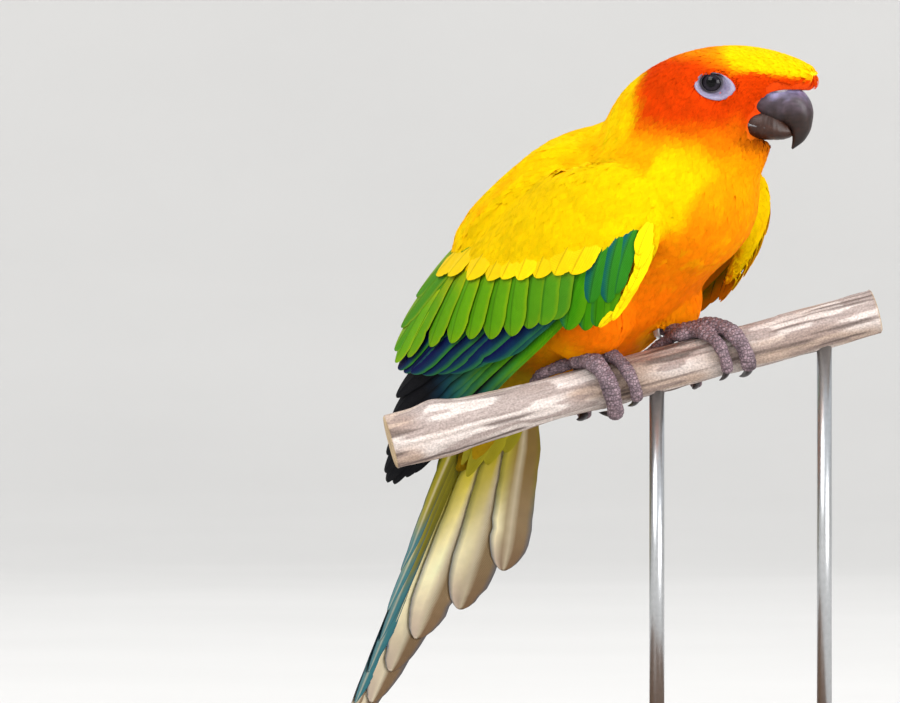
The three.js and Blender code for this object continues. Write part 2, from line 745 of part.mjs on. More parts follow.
// The ring that the left leg wears, and the room that the plumage leaves it
const LEG_RING = { inner: 3.2, outer: 3.9, high: 3, at: 0.63, drop: 0.1 };
function ringTube(inner, outer, high) {
  const outline = [[inner, -high / 2], [outer, -high / 2], [outer, high / 2], [inner, high / 2], [inner, -high / 2]];
  const geometry = new THREE.LatheGeometry(outline.map(([x, y]) => new THREE.Vector2(x, y)), 20);
  const { palm, heel } = FEET.left;
  const palmAt = roundPerch(palm[0], palm[1], PERCH_RADIUS + palm[2]);
  const heelAt = vec(...heel).applyMatrix4(perchFromBird);
  const turn = new THREE.Quaternion().setFromUnitVectors(vec(0, 1, 0), heelAt.clone().sub(palmAt).normalize());
  const middle = palmAt.clone().lerp(heelAt, LEG_RING.at);
  return solidOf(geometry.applyQuaternion(turn).translate(middle.x, middle.y, middle.z - LEG_RING.drop));
}
const legRing = () => ringTube(LEG_RING.inner, LEG_RING.outer, LEG_RING.high);
const ringRoom = moved(
  ringTube(0, LEG_RING.outer + GAP, LEG_RING.high + 2 * GAP),
  perchFromBird.clone().invert(),
);

// The stand: an oval base and two rods up to the perch
function baseSolid() {
  const outline = new THREE.Shape();
  outline.absellipse(0, 0, BASE.length / 2 - BASE.edge, BASE.width / 2 - BASE.edge, 0, 2 * Math.PI);
  const geometry = new THREE.ExtrudeGeometry(outline, {
    depth: BASE.thick - 2 * BASE.edge,
    bevelThickness: BASE.edge,
    bevelSize: BASE.edge,
    bevelSegments: 2,
    curveSegments: 18,
  });
  return solidOf(geometry.translate(0, 0, BASE.edge));
}

function rodSolid(x) {
  const top = vec(x, 0, 0).applyMatrix4(perchFrame);
  const bottom = BASE.thick + GAP;
  const geometry = new THREE.CylinderGeometry(ROD_RADIUS, ROD_RADIUS, top.z - bottom, 20)
    .rotateX(rad(90))
    .translate(top.x, top.y, (top.z + bottom) / 2);
  return largest(solidOf(geometry).subtract(moved(swollenPerch, perchFrame)));
}

// Materials: colour, roughness and metalness of each finish
const finish = (color, roughness, metalness = 0) => new THREE.MeshStandardMaterial({ color, roughness, metalness });
const LOOKS = {
  headPlumage: finish('#f07a10', 0.8),
  neckPlumage: finish('#f5a010', 0.8),
  breastPlumage: finish('#f28a14', 0.8),
  thighPlumage: finish('#f59a1a', 0.8),
  wingPlumage: finish('#c8c814', 0.75),
  tailPlumage: finish('#9c9430', 0.75),
  bill: finish('#3a383c', 0.4),
  eye: finish('#0d0b0c', 0.08),
  foot: finish('#75656a', 0.7),
  claw: finish('#2a2224', 0.4),
  ring: finish('#e6e2dc', 0.35, 0.4),
  wood: finish('#c9b8a0', 0.85),
  base: finish('#4a3a2c', 0.5),
  rod: finish('#8c8c8c', 0.35, 0.9),
};

function piece(name, solid, look) {
  const mesh = new THREE.Mesh(geometryOf(solid), look);
  mesh.name = name;
  return mesh;
}

function framed(frame, pieces) {
  const group = new THREE.Group();
  frame.decompose(group.position, group.quaternion, group.scale);
  group.add(...pieces);
  return group;
}

const head = framed(headFrame, [
  piece('bill_upper', upperBill(), LOOKS.bill),
  piece('bill_lower', lowerBill(), LOOKS.bill),
  piece('eye_left', eyeBall(1), LOOKS.eye),
  piece('eye_right', eyeBall(-1), LOOKS.eye),
]);

const bird = framed(birdFrame, [
  piece('torso', largest(body(SLICES.torso, 0, [0, -GAP / 2]).subtract(ringRoom)), LOOKS.breastPlumage),
  piece('neck', body(SLICES.neck, 0, [GAP / 2, -GAP / 2]), LOOKS.neckPlumage),
  piece('head', headSolid(), LOOKS.headPlumage),
  piece('wing_right', wingSolid(WING_SIDES.right), LOOKS.wingPlumage),
  piece('wing_left', wingSolid(WING_SIDES.left), LOOKS.wingPlumage),
  piece('tail', tailSolid(), LOOKS.tailPlumage),
  ...['right', 'left'].map((name) =>
    piece(`thigh_${name}`, largest(thigh(name).subtract(swollenBody).subtract(ringRoom)), LOOKS.thighPlumage),
  ),
  head,
]);

const grip = framed(perchFrame, [
  piece('perch', perchSolid(), LOOKS.wood),
  ...['right', 'left'].flatMap((name) => [
    piece(`foot_${name}`, footSolid(name), LOOKS.foot),
    ...FEET[name].toes.map((toe, i) => piece(`claw_${name}_${i + 1}`, clawSolid(toe), LOOKS.claw)),
  ]),
  piece('leg_ring', legRing(), LOOKS.ring),
]);

const stand = new THREE.Group();
stand.add(
  piece('stand_base', baseSolid(), LOOKS.base),
  ...ROD_PLACES.map((x, i) => piece(`stand_rod_${i + 1}`, rodSolid(x), LOOKS.rod)),
);

const model = new THREE.Group();
model.add(bird, grip, stand);

export default model;
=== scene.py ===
# %% [markdown]
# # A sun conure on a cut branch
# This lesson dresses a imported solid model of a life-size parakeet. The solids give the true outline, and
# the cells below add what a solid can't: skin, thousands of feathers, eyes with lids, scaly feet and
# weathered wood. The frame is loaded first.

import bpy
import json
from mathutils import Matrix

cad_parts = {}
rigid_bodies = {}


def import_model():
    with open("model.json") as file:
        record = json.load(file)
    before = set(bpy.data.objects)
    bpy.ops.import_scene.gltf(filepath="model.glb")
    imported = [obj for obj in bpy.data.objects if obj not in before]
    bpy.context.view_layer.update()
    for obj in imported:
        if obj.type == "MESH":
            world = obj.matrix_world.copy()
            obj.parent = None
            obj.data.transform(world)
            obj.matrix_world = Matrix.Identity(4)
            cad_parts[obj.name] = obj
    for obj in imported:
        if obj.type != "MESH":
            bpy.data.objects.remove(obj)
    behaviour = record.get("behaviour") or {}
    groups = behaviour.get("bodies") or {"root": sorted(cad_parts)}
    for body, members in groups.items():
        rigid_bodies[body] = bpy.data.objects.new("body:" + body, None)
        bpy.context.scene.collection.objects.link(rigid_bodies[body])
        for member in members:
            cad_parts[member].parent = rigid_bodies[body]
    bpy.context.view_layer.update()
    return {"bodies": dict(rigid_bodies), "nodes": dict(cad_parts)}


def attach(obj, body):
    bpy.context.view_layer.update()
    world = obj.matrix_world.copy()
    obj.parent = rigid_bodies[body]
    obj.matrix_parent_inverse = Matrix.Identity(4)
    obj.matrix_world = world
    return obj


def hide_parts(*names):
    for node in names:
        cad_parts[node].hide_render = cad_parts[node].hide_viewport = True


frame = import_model()

import itertools
import json
import math

import bmesh
import bpy
import numpy as np
from mathutils import Vector
from mathutils.bvhtree import BVHTree
from mathutils.kdtree import KDTree

# %% [markdown]
# ## Three frames
# A bird is easier to shape in its own frame: x ahead, y to its left, z up. The head has a frame inside
# the bird's, and the perch has one along the branch. All sizes are in millimetres until a mesh is made.

# %% Frames and small helpers
MM = 0.001


def turned(yaw=0.0, pitch=0.0, at=(0, 0, 0)):
    y, p = math.radians(yaw), math.radians(pitch)
    about_z = np.array([[math.cos(y), -math.sin(y), 0], [math.sin(y), math.cos(y), 0], [0, 0, 1]])
    about_y = np.array([[math.cos(p), 0, -math.sin(p)], [0, 1, 0], [math.sin(p), 0, math.cos(p)]])
    placed = np.eye(4)
    placed[:3, :3] = about_z @ about_y
    placed[:3, 3] = at
    return placed


bird_frame = turned(yaw=-42, at=(3.3, 0, 178))
head_frame = bird_frame @ turned(yaw=27, at=(48.4, 2, 51.7))
perch_frame = turned(yaw=5, pitch=15, at=(11, -12, 137.3))


def moved(points, matrix):
    points = np.asarray(points, float)
    return points @ matrix[:3, :3].T + matrix[:3, 3]


def back(points, matrix):
    return (np.asarray(points, float) - matrix[:3, 3]) @ matrix[:3, :3]


def unit(v):
    return v / np.maximum(np.linalg.norm(v, axis=-1, keepdims=True), 1e-9)


def soft_step(x, low, high):
    t = np.clip((np.asarray(x, float) - low) / (high - low), 0, 1)
    return t * t * (3 - 2 * t)


def along(values, t):
    """A smooth run through values kept at even steps, t from 0 to 1."""
    values = np.asarray(values, float)
    last = len(values) - 1
    t = np.clip(np.asarray(t, float), 0, 1) * last
    k = np.minimum(last - 1, t.astype(int))
    f = t - k
    a, b, c, d = (values[np.clip(k + o, 0, last)] for o in (-1, 0, 1, 2))
    if values.ndim > 1:
        f = f[..., None]
    return b + 0.5 * f * (c - a + f * (2 * a - 5 * b + 4 * c - d + f * (3 * (b - c) + d - a)))


def paint(code):
    """A colour from its six-figure code, as linear light."""
    c = np.array([int(code[i : i + 2], 16) for i in (0, 2, 4)]) / 255
    return np.where(c <= 0.04045, c / 12.92, ((c + 0.055) / 1.055) ** 2.4)


def mixed(a, b, t):
    t = np.asarray(t, float)[..., None]
    return np.asarray(a) * (1 - t) + np.asarray(b) * t


HASH_PRIMES = np.array([73856093, 19349663, 83492791])
HASH_MIX = 1274126177


def mottle(points, size, seed=0):
    """Smooth patchy noise from 0 to 1 at points, with patches about size across."""
    g = np.asarray(points, float) / size + seed * 17.3
    cell = np.floor(g).astype(np.int64)
    f = g - cell
    f = f * f * (3 - 2 * f)
    total = 0
    for corner in itertools.product((0, 1), repeat=3):
        x, y, z = np.moveaxis((cell + corner) * HASH_PRIMES, -1, 0)
        n = x ^ y ^ z
        n = (n ^ (n >> 13)) * HASH_MIX
        value = ((n ^ (n >> 16)) & 0xFFFF) / 65535.0
        wx, wy, wz = np.moveaxis(np.where(corner, f, 1 - f), -1, 0)
        total = total + value * wx * wy * wz
    return total


print("head centre in the row frame", np.round(head_frame[:3, 3], 1))

# %% [markdown]
# ## Making objects
# Two makers serve every piece. One turns arrays into a mesh, which suits thousands of feathers. The other
# takes a bmesh that operators have shaped. Both leave the object unmoved at the origin, and each finished
# piece then rides on the model's one body.

# %% Makers
ROOT = next(iter(frame["bodies"]))


def settle(piece, material, slot, stands_for=()):
    piece.data.materials.clear()
    piece.data.materials.append(material)
    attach(piece, ROOT)
    if stands_for:
        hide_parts(*stands_for)
    print(piece.name, "faces", len(piece.data.polygons))


def in_scene(name, data):
    thing = bpy.data.objects.new(name, data)
    bpy.context.collection.objects.link(thing)
    return thing


def smooth_faces(mesh):
    mesh.polygons.foreach_set("use_smooth", np.ones(len(mesh.polygons), bool))


def add_colours(mesh, colours):
    layer = mesh.color_attributes.new(name="Plumage", type="FLOAT_COLOR", domain="POINT")
    four = np.ones((len(mesh.vertices), 4), np.float32)
    four[:, :3] = colours
    layer.data.foreach_set("color", four.ravel())


def from_arrays(name, verts, faces, colours, bake_uv, web_uv, rims):
    """Makes a piece from verts in millimetres and four-sided faces. Colours, both maps and rims have a row
    for each vertex. Edges between two rim vertices stay crisp, so a thin vane isn't shaded like a tube."""
    mesh = bpy.data.meshes.new(name)
    mesh.vertices.add(len(verts))
    mesh.vertices.foreach_set("co", (np.asarray(verts, np.float32) * MM).ravel())
    corners = np.asarray(faces, np.int32).ravel()
    mesh.loops.add(len(corners))
    mesh.loops.foreach_set("vertex_index", corners)
    mesh.polygons.add(len(faces))
    mesh.polygons.foreach_set("loop_start", np.arange(len(faces), dtype=np.int32) * 4)
    mesh.update(calc_edges=True)
    smooth_faces(mesh)
    ends = np.empty(len(mesh.edges) * 2, np.int32)
    mesh.edges.foreach_get("vertices", ends)
    mesh.edges.foreach_set("use_edge_sharp", rims[ends.reshape(-1, 2)].all(1))
    add_colours(mesh, colours)
    for title, uv in (("OFBake", bake_uv), ("Web", web_uv)):
        layer = mesh.uv_layers.new(name=title)
        layer.data.foreach_set("uv", np.asarray(uv, np.float32)[corners].ravel())
    mesh.validate()
    return in_scene(name, mesh)


def from_bmesh(name, bm):
    bmesh.ops.remove_doubles(bm, verts=bm.verts, dist=1e-7)
    bmesh.ops.recalc_face_normals(bm, faces=bm.faces)
    mesh = bpy.data.meshes.new(name)
    bm.to_mesh(mesh)
    bm.free()
    smooth_faces(mesh)
    return in_scene(name, mesh)


print("everything rides on", ROOT)

# %% [markdown]
# ## Shaping helpers
# Most round parts are a circle pulled through rings of points, which is what extruding a loop of edges by
# hand does. Rounder ones start as a ball. Where parts overlap, a voxel remesh melts them into one closed
# mesh.

# %% Sweeps, balls and melting
def sweep(bm, rings, looped=False, far_end=True):
    """Pulls a circle through rings of points, in millimetres, by extruding its edge. It closes both ends,
    or joins the last ring to the first where it is looped."""
    start = bmesh.ops.create_circle(bm, segments=len(rings[0]), radius=1)["verts"]
    order = start
    edges = first = list({e for v in start for e in v.link_edges})
    for v, p in zip(start, rings[0]):
        v.co = Vector(p) * MM
    if not looped:
        bmesh.ops.contextual_create(bm, geom=edges)
    for ring in rings[1:]:
        made = bmesh.ops.extrude_edge_only(bm, edges=edges)["geom"]
        fresh = {g for g in made if isinstance(g, bmesh.types.BMVert)}
        edges = [g for g in made if isinstance(g, bmesh.types.BMEdge) and set(g.verts) <= fresh]
        order = [next(e.other_vert(v) for e in v.link_edges if e.other_vert(v) in fresh) for v in order]
        for v, p in zip(order, ring):
            v.co = Vector(p) * MM
    if looped:
        bmesh.ops.bridge_loops(bm, edges=first + edges)
    elif far_end:
        bmesh.ops.contextual_create(bm, geom=edges)


def tube(name, rings, **ends):
    bm = bmesh.new()
    sweep(bm, rings, **ends)
    return from_bmesh(name, bm)


def ball(bm, round_it, upward, place, radius=1):
    """Adds a ball with so many faces round it and upward, and moves its corners to place(corner)."""
    made = bmesh.ops.create_uvsphere(bm, u_segments=round_it, v_segments=upward, radius=radius)
    for v in made["verts"]:
        v.co = Vector(place(np.array(v.co))) * MM


def egg(bm, half, at, matrix, tilt=0.0):
    local = turned(pitch=tilt, at=at)
    ball(bm, 32, 20, lambda p: moved(moved(p * half, local), matrix))


def fuse(piece, voxel_size):
    melt = piece.modifiers.new("fuse", "REMESH")
    melt.mode = "VOXEL"
    melt.voxel_size = voxel_size
    whole = bpy.data.meshes.new_from_object(piece.evaluated_get(bpy.context.evaluated_depsgraph_get()))
    piece.modifiers.clear()
    piece.data = whole
    smooth_faces(whole)


def mesh_arrays(mesh):
    """Places in millimetres and normals of a mesh's vertices."""
    co = np.empty(len(mesh.vertices) * 3, np.float32)
    mesh.vertices.foreach_get("co", co)
    normals = np.empty(len(mesh.vertices) * 3, np.float32)
    mesh.vertex_normals.foreach_get("vector", normals)
    return co.reshape(-1, 3).astype(float) / MM, normals.reshape(-1, 3).astype(float)


print("shaping helpers", [helper.__name__ for helper in (sweep, tube, ball, egg, fuse)])

# %% [markdown]
# ## The sheets that feathers lie on
# A folded wing is close to a bent sheet that wraps the flank, and a tail is a low roof. A feather is laid
# out flat on its sheet, by how far along and across it runs, and the sheet's bend carries it round the
# body. On the wing, p runs down and back along it, q runs up across it and h is the height over it.

# %% Wing and tail sheets
WING_START = (46, 13)
WING_SLOPE = math.radians(35)
PAD_AT, PAD_HALF, PAD_SLANT = (42.5, 20), (42.5, 22.5), 0.22
SIDES = {
    "right": dict(sign=-1, lift=0.0, out=0.0, front=66.0),
    "left": dict(sign=1, lift=8.0, out=0.4, front=96.0),
}


def wing_reach(p, q, side):
    front = np.maximum(0, 42 - p) ** 2 / (2 * side["front"])
    rear = np.maximum(0, p - 60) ** 2 / (2 * 192)
    return 40.5 + side["out"] - (q - 12) ** 2 / 60 - front - rear


def wing_point(p, q, side):
    a = WING_START[0] - p * math.cos(WING_SLOPE) - q * math.sin(WING_SLOPE)
    c = WING_START[1] + side["lift"] - p * math.sin(WING_SLOPE) + q * math.cos(WING_SLOPE)
    return moved(np.stack([a, side["sign"] * wing_reach(p, q, side), c], -1), bird_frame)


def on_wing(p, q, h, side):
    p, q, h = np.broadcast_arrays(*(np.asarray(v, float) for v in (p, q, h)))
    at = wing_point(p, q, side)
    out = unit(np.cross(wing_point(p + 0.5, q, side) - at, wing_point(p, q + 0.5, side) - at))
    outward = bird_frame[:3, 1] * side["sign"]
    out = out * np.where((out @ outward)[..., None] < 0, -1.0, 1.0)
    return at + out * h[..., None]


def wing_place(points, side):
    """Where points in the row frame lie on the wing's sheet: p, q and height over it."""
    a, b, c = np.moveaxis(back(points, bird_frame), -1, 0)
    da, dc = a - WING_START[0], c - WING_START[1] - side["lift"]
    p = -da * math.cos(WING_SLOPE) - dc * math.sin(WING_SLOPE)
    q = -da * math.sin(WING_SLOPE) + dc * math.cos(WING_SLOPE)
    return p, q, b * side["sign"] - wing_reach(p, q, side)


def pad_share(points, side):
    """1 on the shoulder of a folded wing, falling to 0 outside it."""
    p, q, h = wing_place(points, side)
    past = p - PAD_AT[0]
    above = q - PAD_AT[1] - PAD_SLANT * past
    shape = np.abs(past / PAD_HALF[0]) ** 2.35 + np.abs(above / PAD_HALF[1]) ** 2.35
    edge = (1 - soft_step(p, 28, 38)) * (1 - soft_step(np.abs(q - 6 + 0.62 * p), 7, 11))
    return np.maximum(1 - soft_step(shape, 0.8, 1.15), edge) * soft_step(h, -9, -5)


TAIL_ROOT = (-51.0, -40.5)
TAIL_SLOPE = math.radians(61.8)


def on_tail(x, y, h):
    x, y, h = np.broadcast_arrays(*(np.asarray(v, float) for v in (x, y, h)))
    droop = 0.48 * (np.hypot(x, 4) - 4) * np.minimum(1, 0.35 + y / 90) - h
    a = TAIL_ROOT[0] - y * math.cos(TAIL_SLOPE) + droop * math.sin(TAIL_SLOPE)
    c = TAIL_ROOT[1] - y * math.sin(TAIL_SLOPE) - droop * math.cos(TAIL_SLOPE)
    return moved(np.stack([a, x, c], -1), bird_frame)


print("wing tip", np.round(on_wing(163, 4, 0, SIDES["right"]), 1))
print("tail tip", np.round(on_tail(0, 136, 0), 1))

# %% [markdown]
# ## The body's line
# The skin, the lie of the feathers and the markings all follow one line, from the tail's root up through
# the neck to the forehead. For any point it gives how far along the bird it is and at what angle round
# it.

# %% Body line
BODY_LINE = [[-50, 0, -38], [-36, 0, -25], [-20, 0, -11], [-2, 0, 2], [15, 0, 14], [29, 0, 25]]
BODY_LINE += [[39, 0, 36], [45, 1, 45], [50.5, 4, 51.5], [58, 7.5, 55.5], [67.5, 11.8, 57.5]]
BODY_LINE += [[76.6, 16.3, 57.6]]
AT_ONCE = 4000
line_t = np.linspace(0, 1, 121)
line_points = moved(along(BODY_LINE, line_t), bird_frame)
line_ahead = unit(np.gradient(line_points, axis=0))


def body_place(points):
    """How far points lie along the line (0 tail, 1 forehead), their turn round it, and the way ahead there.
    They are worked out some at once, so that memory stays small."""
    points = np.asarray(points, float)
    nearest = np.zeros(len(points), int)
    for i in range(0, len(points), AT_ONCE):
        gap = np.linalg.norm(points[i : i + AT_ONCE, None] - line_points[None], axis=-1)
        nearest[i : i + AT_ONCE] = gap.argmin(1)
    ahead = line_ahead[nearest]
    left = unit(np.cross(np.array([0, 0, 1.0]), ahead))
    up = np.cross(ahead, left)
    away = points - line_points[nearest]
    turn = np.arctan2((away * up).sum(1), (away * left).sum(1))
    return line_t[nearest], turn, ahead


THIGH_LINES = {
    "right": np.array([[8, -14, -12], [3, -15, -20], [-2, -14.5, -26], [-7, -14, -31.5]], float),
    "left": np.array([[12, 12, -8], [11.4, 12.6, -15], [10.6, 12.6, -19.5], [9.6, 12, -24]], float),
}


def near_line(points, line):
    """Distance from points to a line of stops, and the way the line runs there."""
    best, way = np.full(len(points), 1e9), np.zeros_like(points)
    for a, b in zip(line[:-1], line[1:]):
        run = b - a
        t = np.clip(((points - a) @ run) / (run @ run), 0, 1)
        gap = np.linalg.norm(points - a - t[:, None] * run, axis=1)
        closer = gap < best
        best[closer], way[closer] = gap[closer], unit(run)
    return best, way


print("line from tail root to forehead", np.round(line_points[[0, -1]], 1))

# %% [markdown]
# ## Markings
# A sun conure is golden yellow and orange. The face is orange-red with a yellow crown, the breast is
# orange mottled with yellow, the belly redder, and the vent olive. Under the bill, the throat is darkened
# with painted shade. One function gives the colour at any point, so the skin below and the feathers above
# always agree. It works from distances in the bird's own frame.

# %% Plumage colours
CROWN, CROWN_BACK, FACE = paint("FCD902"), paint("F79A04"), paint("E54502")
CHEEK, THROAT, NECK_GOLD = paint("DC4E02"), paint("F68803"), paint("FBA403")
MANTLE, WING_YELLOW = paint("FADD02"), paint("F9D902")
BREAST_GOLD, BREAST, BELLY = paint("FDB503"), paint("FFA005"), paint("FC8606")
THIGH, VENT, RUMP = paint("FEB304"), paint("B9A41A"), paint("A9AE08")


def face_colour(x, z, fine, wide):
    """The head's markings by place in the head's frame: yellow cap, red face, orange cheeks and throat, and
    painted shade under the bill.
    """
    edge = 9.0 - 0.12 * x + 1.2 * np.maximum(0, 5 - x) + 0.8 * wide + 0.6 * fine
    low = mixed(FACE, CHEEK, soft_step(-z + 4 * wide + 1.5 * fine, 4.5, 12))
    low = mixed(low, THROAT, soft_step(-z + 6 * wide + 2 * fine, 6.5, 17))
    low = mixed(low, NECK_GOLD, soft_step(-z - 0.3 * x + 4 * wide, 20, 28))
    # painted shade: the throat just under the bill is darkened towards deep orange
    shade = np.exp(-(((x - 12) / 6) ** 2 + ((z + 16) / 4) ** 2))
    low = mixed(low, paint("8E3802"), 0.75 * shade)
    low = mixed(low, CROWN_BACK, soft_step(z + 3 * wide + 0.12 * np.minimum(0, x), 7.5, 14) * (x < 14))
    blur = 1.5 + 0.35 * np.clip(9 - x, 0, 12)
    cap = mixed(CROWN, BREAST_GOLD, np.clip(0.4 * fine + 0.2 * wide, 0, 1))
    return mixed(low, cap, soft_step((z - edge) / blur, -1, 1))


def plumage(points):
    points = np.asarray(points, float)
    t, turn, _ = body_place(points)
    high = points[:, 2]
    x, _, z = back(points, head_frame).T
    fine = mottle(points, 2.2, 1) - 0.5
    wide = mottle(points, 7.0, 2) - 0.5
    top = np.sin(turn)
    colour = mixed(BELLY, BREAST, soft_step(high + 12 * wide + 7 * fine, 158, 188))
    colour = mixed(colour, BREAST_GOLD, soft_step(high + 16 * wide + 9 * fine, 182, 206))
    flecks = soft_step(fine + 0.6 * wide, 0.12, 0.42) * soft_step(high, 158, 176)
    colour = mixed(colour, BREAST_GOLD, 0.5 * flecks)
    for line in THIGH_LINES.values():
        gap, _ = near_line(back(points, bird_frame), line)
        low = (1 - soft_step(gap, 9, 16)) * (1 - soft_step(high, 157, 170))
        colour = mixed(colour, mixed(THIGH, BREAST, np.clip(0.3 + fine, 0, 1)), low)
    mantle = soft_step(top + 0.3 * wide, 0.1, 0.5) * (1 - soft_step(t, 0.9, 1.0))
    colour = mixed(colour, mixed(MANTLE, BREAST_GOLD, np.clip(0.25 + wide + 0.6 * fine, 0, 1)), mantle)
    vent = (1 - soft_step(t + 0.05 * wide, 0.05, 0.15)) * (1 - soft_step(top, -0.2, 0.3))
    colour = mixed(colour, VENT, 0.85 * vent)
    rump = (1 - soft_step(t, 0.02, 0.1)) * soft_step(top, -0.2, 0.3)
    colour = mixed(colour, RUMP, 0.7 * rump)
    for side in SIDES.values():
        gold = mixed(WING_YELLOW, paint("E9C602"), np.clip(0.35 + 0.7 * wide + fine, 0, 1))
        colour = mixed(colour, gold, pad_share(points, side) * (1 - soft_step(t, 0.52, 0.6)))
    fade = 5 * wide + 2 * fine
    ahead = soft_step(x + fade - 0.1 * np.minimum(0, z), -32, -23.5)
    above = soft_step(z + fade + 0.25 * x, -25, -15)
    colour = mixed(colour, face_colour(x, z, fine, wide), ahead * above)
    return np.clip(colour * (1 + 0.1 * fine[:, None]), 0, 1)


print("crown and cheek", np.round(plumage(moved([[8, 0, 17], [-10, -14, -4]], head_frame)), 2))

# %% [markdown]
# ## Feather and skin materials
# Feathers scatter light softly and have almost no gloss, so the shader is rough and lets some light pass
# through. Fine barbs run out from the shaft at a slant: a wave on the feather's own map makes them as
# bump and a slight change of tone. The colour itself comes from the attribute on each vertex.


# %% Plumage material
def new_material(name):
    """An empty material, as a function that adds a node and one that makes a shader the surface."""
    material = bpy.data.materials.new(name)
    material.use_nodes = True
    tree = material.node_tree
    tree.nodes.clear()
    out = tree.nodes.new("ShaderNodeOutputMaterial")

    def add(kind, inputs=None, **settings):
        node = tree.nodes.new(kind)
        for key, value in settings.items():
            setattr(node, key, value)
        for key, value in (inputs or {}).items():
            if hasattr(value, "is_output"):
                tree.links.new(value, node.inputs[key])
            else:
                node.inputs[key].default_value = value
        return node

    def finish(shader):
        tree.links.new(shader.outputs[0], out.inputs["Surface"])
        return material

    return add, finish


def noise_on(add, scale, detail):
    """The object's own space, and noise in it."""
    where = add("ShaderNodeTexCoord").outputs["Object"]
    noise = add("ShaderNodeTexNoise", {"Vector": where, "Scale": scale, "Detail": detail})
    return where, noise.outputs["Fac"]


def toned(add, height, tones, depth, reach, bumped=None):
    """Colour and normal for a shader: the vertex colours, made darker and paler by height, and a bump. The
    tones are the lowest and highest height, and what the colour is multiplied by at each."""
    colour = add("ShaderNodeAttribute", attribute_name="Plumage")
    tone = add("ShaderNodeMapRange", {"Value": height} | dict(enumerate(tones, 1)))
    factors = {0: colour.outputs["Color"], 1: tone.outputs[0]}
    shade = add("ShaderNodeVectorMath", factors, operation="MULTIPLY")
    relief = height if bumped is None else bumped
    bump = add("ShaderNodeBump", {"Height": relief, "Strength": depth, "Distance": reach})
    return {"Base Color": shade.outputs[0], "Normal": bump.outputs["Normal"]}


BARBS = 9.0


def feather_material(name, depth, gloss, roughness, through):
    add, finish = new_material(name)
    web = add("ShaderNodeUVMap", uv_map="Web")
    parts = add("ShaderNodeSeparateXYZ", {"Vector": web.outputs["UV"]})
    side = add("ShaderNodeMath", {0: parts.outputs["X"]}, operation="ABSOLUTE")
    slant = add("ShaderNodeMath", {0: parts.outputs["Y"], 1: side.outputs[0]}, operation="SUBTRACT")
    pushed = add("ShaderNodeMath", {0: slant.outputs[0], 1: BARBS}, operation="MULTIPLY")
    wave = add("ShaderNodeMath", {0: pushed.outputs[0]}, operation="SINE").outputs[0]
    _, noise = noise_on(add, 260.0, 3.0)
    both = add("ShaderNodeMath", {0: wave, 1: 0.12, 2: noise}, operation="MULTIPLY_ADD").outputs[0]
    inputs = toned(add, both, (0.2, 0.8, 0.92, 1.08), depth, 0.0001, bumped=wave)
    body = add("ShaderNodeBsdfPrincipled", inputs | {"Roughness": roughness, "Specular IOR Level": gloss})
    lit = add("ShaderNodeBsdfTranslucent", {"Color": inputs["Base Color"]})
    return finish(add("ShaderNodeMixShader", {0: through, 1: body.outputs[0], 2: lit.outputs[0]}))


down = feather_material("soft_contour_feathers", depth=0.3, gloss=0.03, roughness=0.75, through=0.45)
vane_finish = feather_material("smooth_vanes", depth=0.4, gloss=0.06, roughness=0.6, through=0.14)


def skin_material():
    add, finish = new_material("skin_under_feathers")
    _, noise = noise_on(add, 700.0, 4.0)
    inputs = toned(add, noise, (0.3, 0.7, 0.78, 1.0), 0.5, 0.0004)
    return finish(add("ShaderNodeBsdfPrincipled", inputs | {"Roughness": 0.85, "Specular IOR Level": 0.1}))


skin_finish = skin_material()
print("materials", down.name, vane_finish.name, skin_finish.name)

# %% [markdown]
# ## One skin
# The solids keep head, neck, torso and thighs apart, which would show as seams. Their meshes are copied
# into one bmesh with the shoulder pads, the wing's front edge, a plug behind the bill and the root of the
# tail, and a voxel remesh melts them together. Smoothing in steps forward and back takes the facets away
# without shrinking. Last, the skin is drawn in by the depth of the coat that it will carry.

# %% Parts of the skin
def pad_rings(side):
    bend = lambda v: np.sign(v) * np.abs(v) ** 0.85
    turn = np.linspace(0, 2 * np.pi, 48, endpoint=False)
    above = [(r, 2.4) for r in (0.02, 0.2, 0.4, 0.6, 0.75, 0.87, 0.95, 1.0)]
    below = [(r, -12.0) for r in (0.95, 0.85, 0.7, 0.5, 0.3, 0.1)]
    rings = []
    for r, h in above + below:
        p = PAD_AT[0] + PAD_HALF[0] * r * bend(np.cos(turn))
        q = PAD_AT[1] + PAD_SLANT * (p - PAD_AT[0]) + PAD_HALF[1] * r * bend(np.sin(turn))
        rings.append(on_wing(p, q, np.full(len(turn), h * (1 - r**4)), side))
    return rings


LEADING_EDGE = [[9.5, 12, -3.4, 3.4], [4.6, 4, -3, 3.5], [9, -4.5, -2.6, 3.4], [17.5, -9.5, -2, 2.8]]
LEADING_EDGE += [[26, -12.5, -1.4, 2], [34, -14.5, -0.8, 0.5]]


def edge_rings(side):
    roll = 1.25 if side["sign"] > 0 else 1.0
    turn = np.linspace(0, 2 * np.pi, 20, endpoint=False)[:, None]
    rings = []
    for t in np.linspace(0, 1, 24):
        p, q, h, r = along(LEADING_EDGE, t)
        before, after = along(LEADING_EDGE, t - 0.02), along(LEADING_EDGE, t + 0.02)
        ahead = unit(on_wing(*after[:3], side) - on_wing(*before[:3], side))
        across = unit(np.cross(ahead, on_wing(p, q, h + 1, side) - on_wing(p, q, h, side)))
        up = np.cross(across, ahead)
        rings.append(on_wing(p, q, h, side) + (across * np.cos(turn) + up * np.sin(turn)) * r * roll)
    return rings


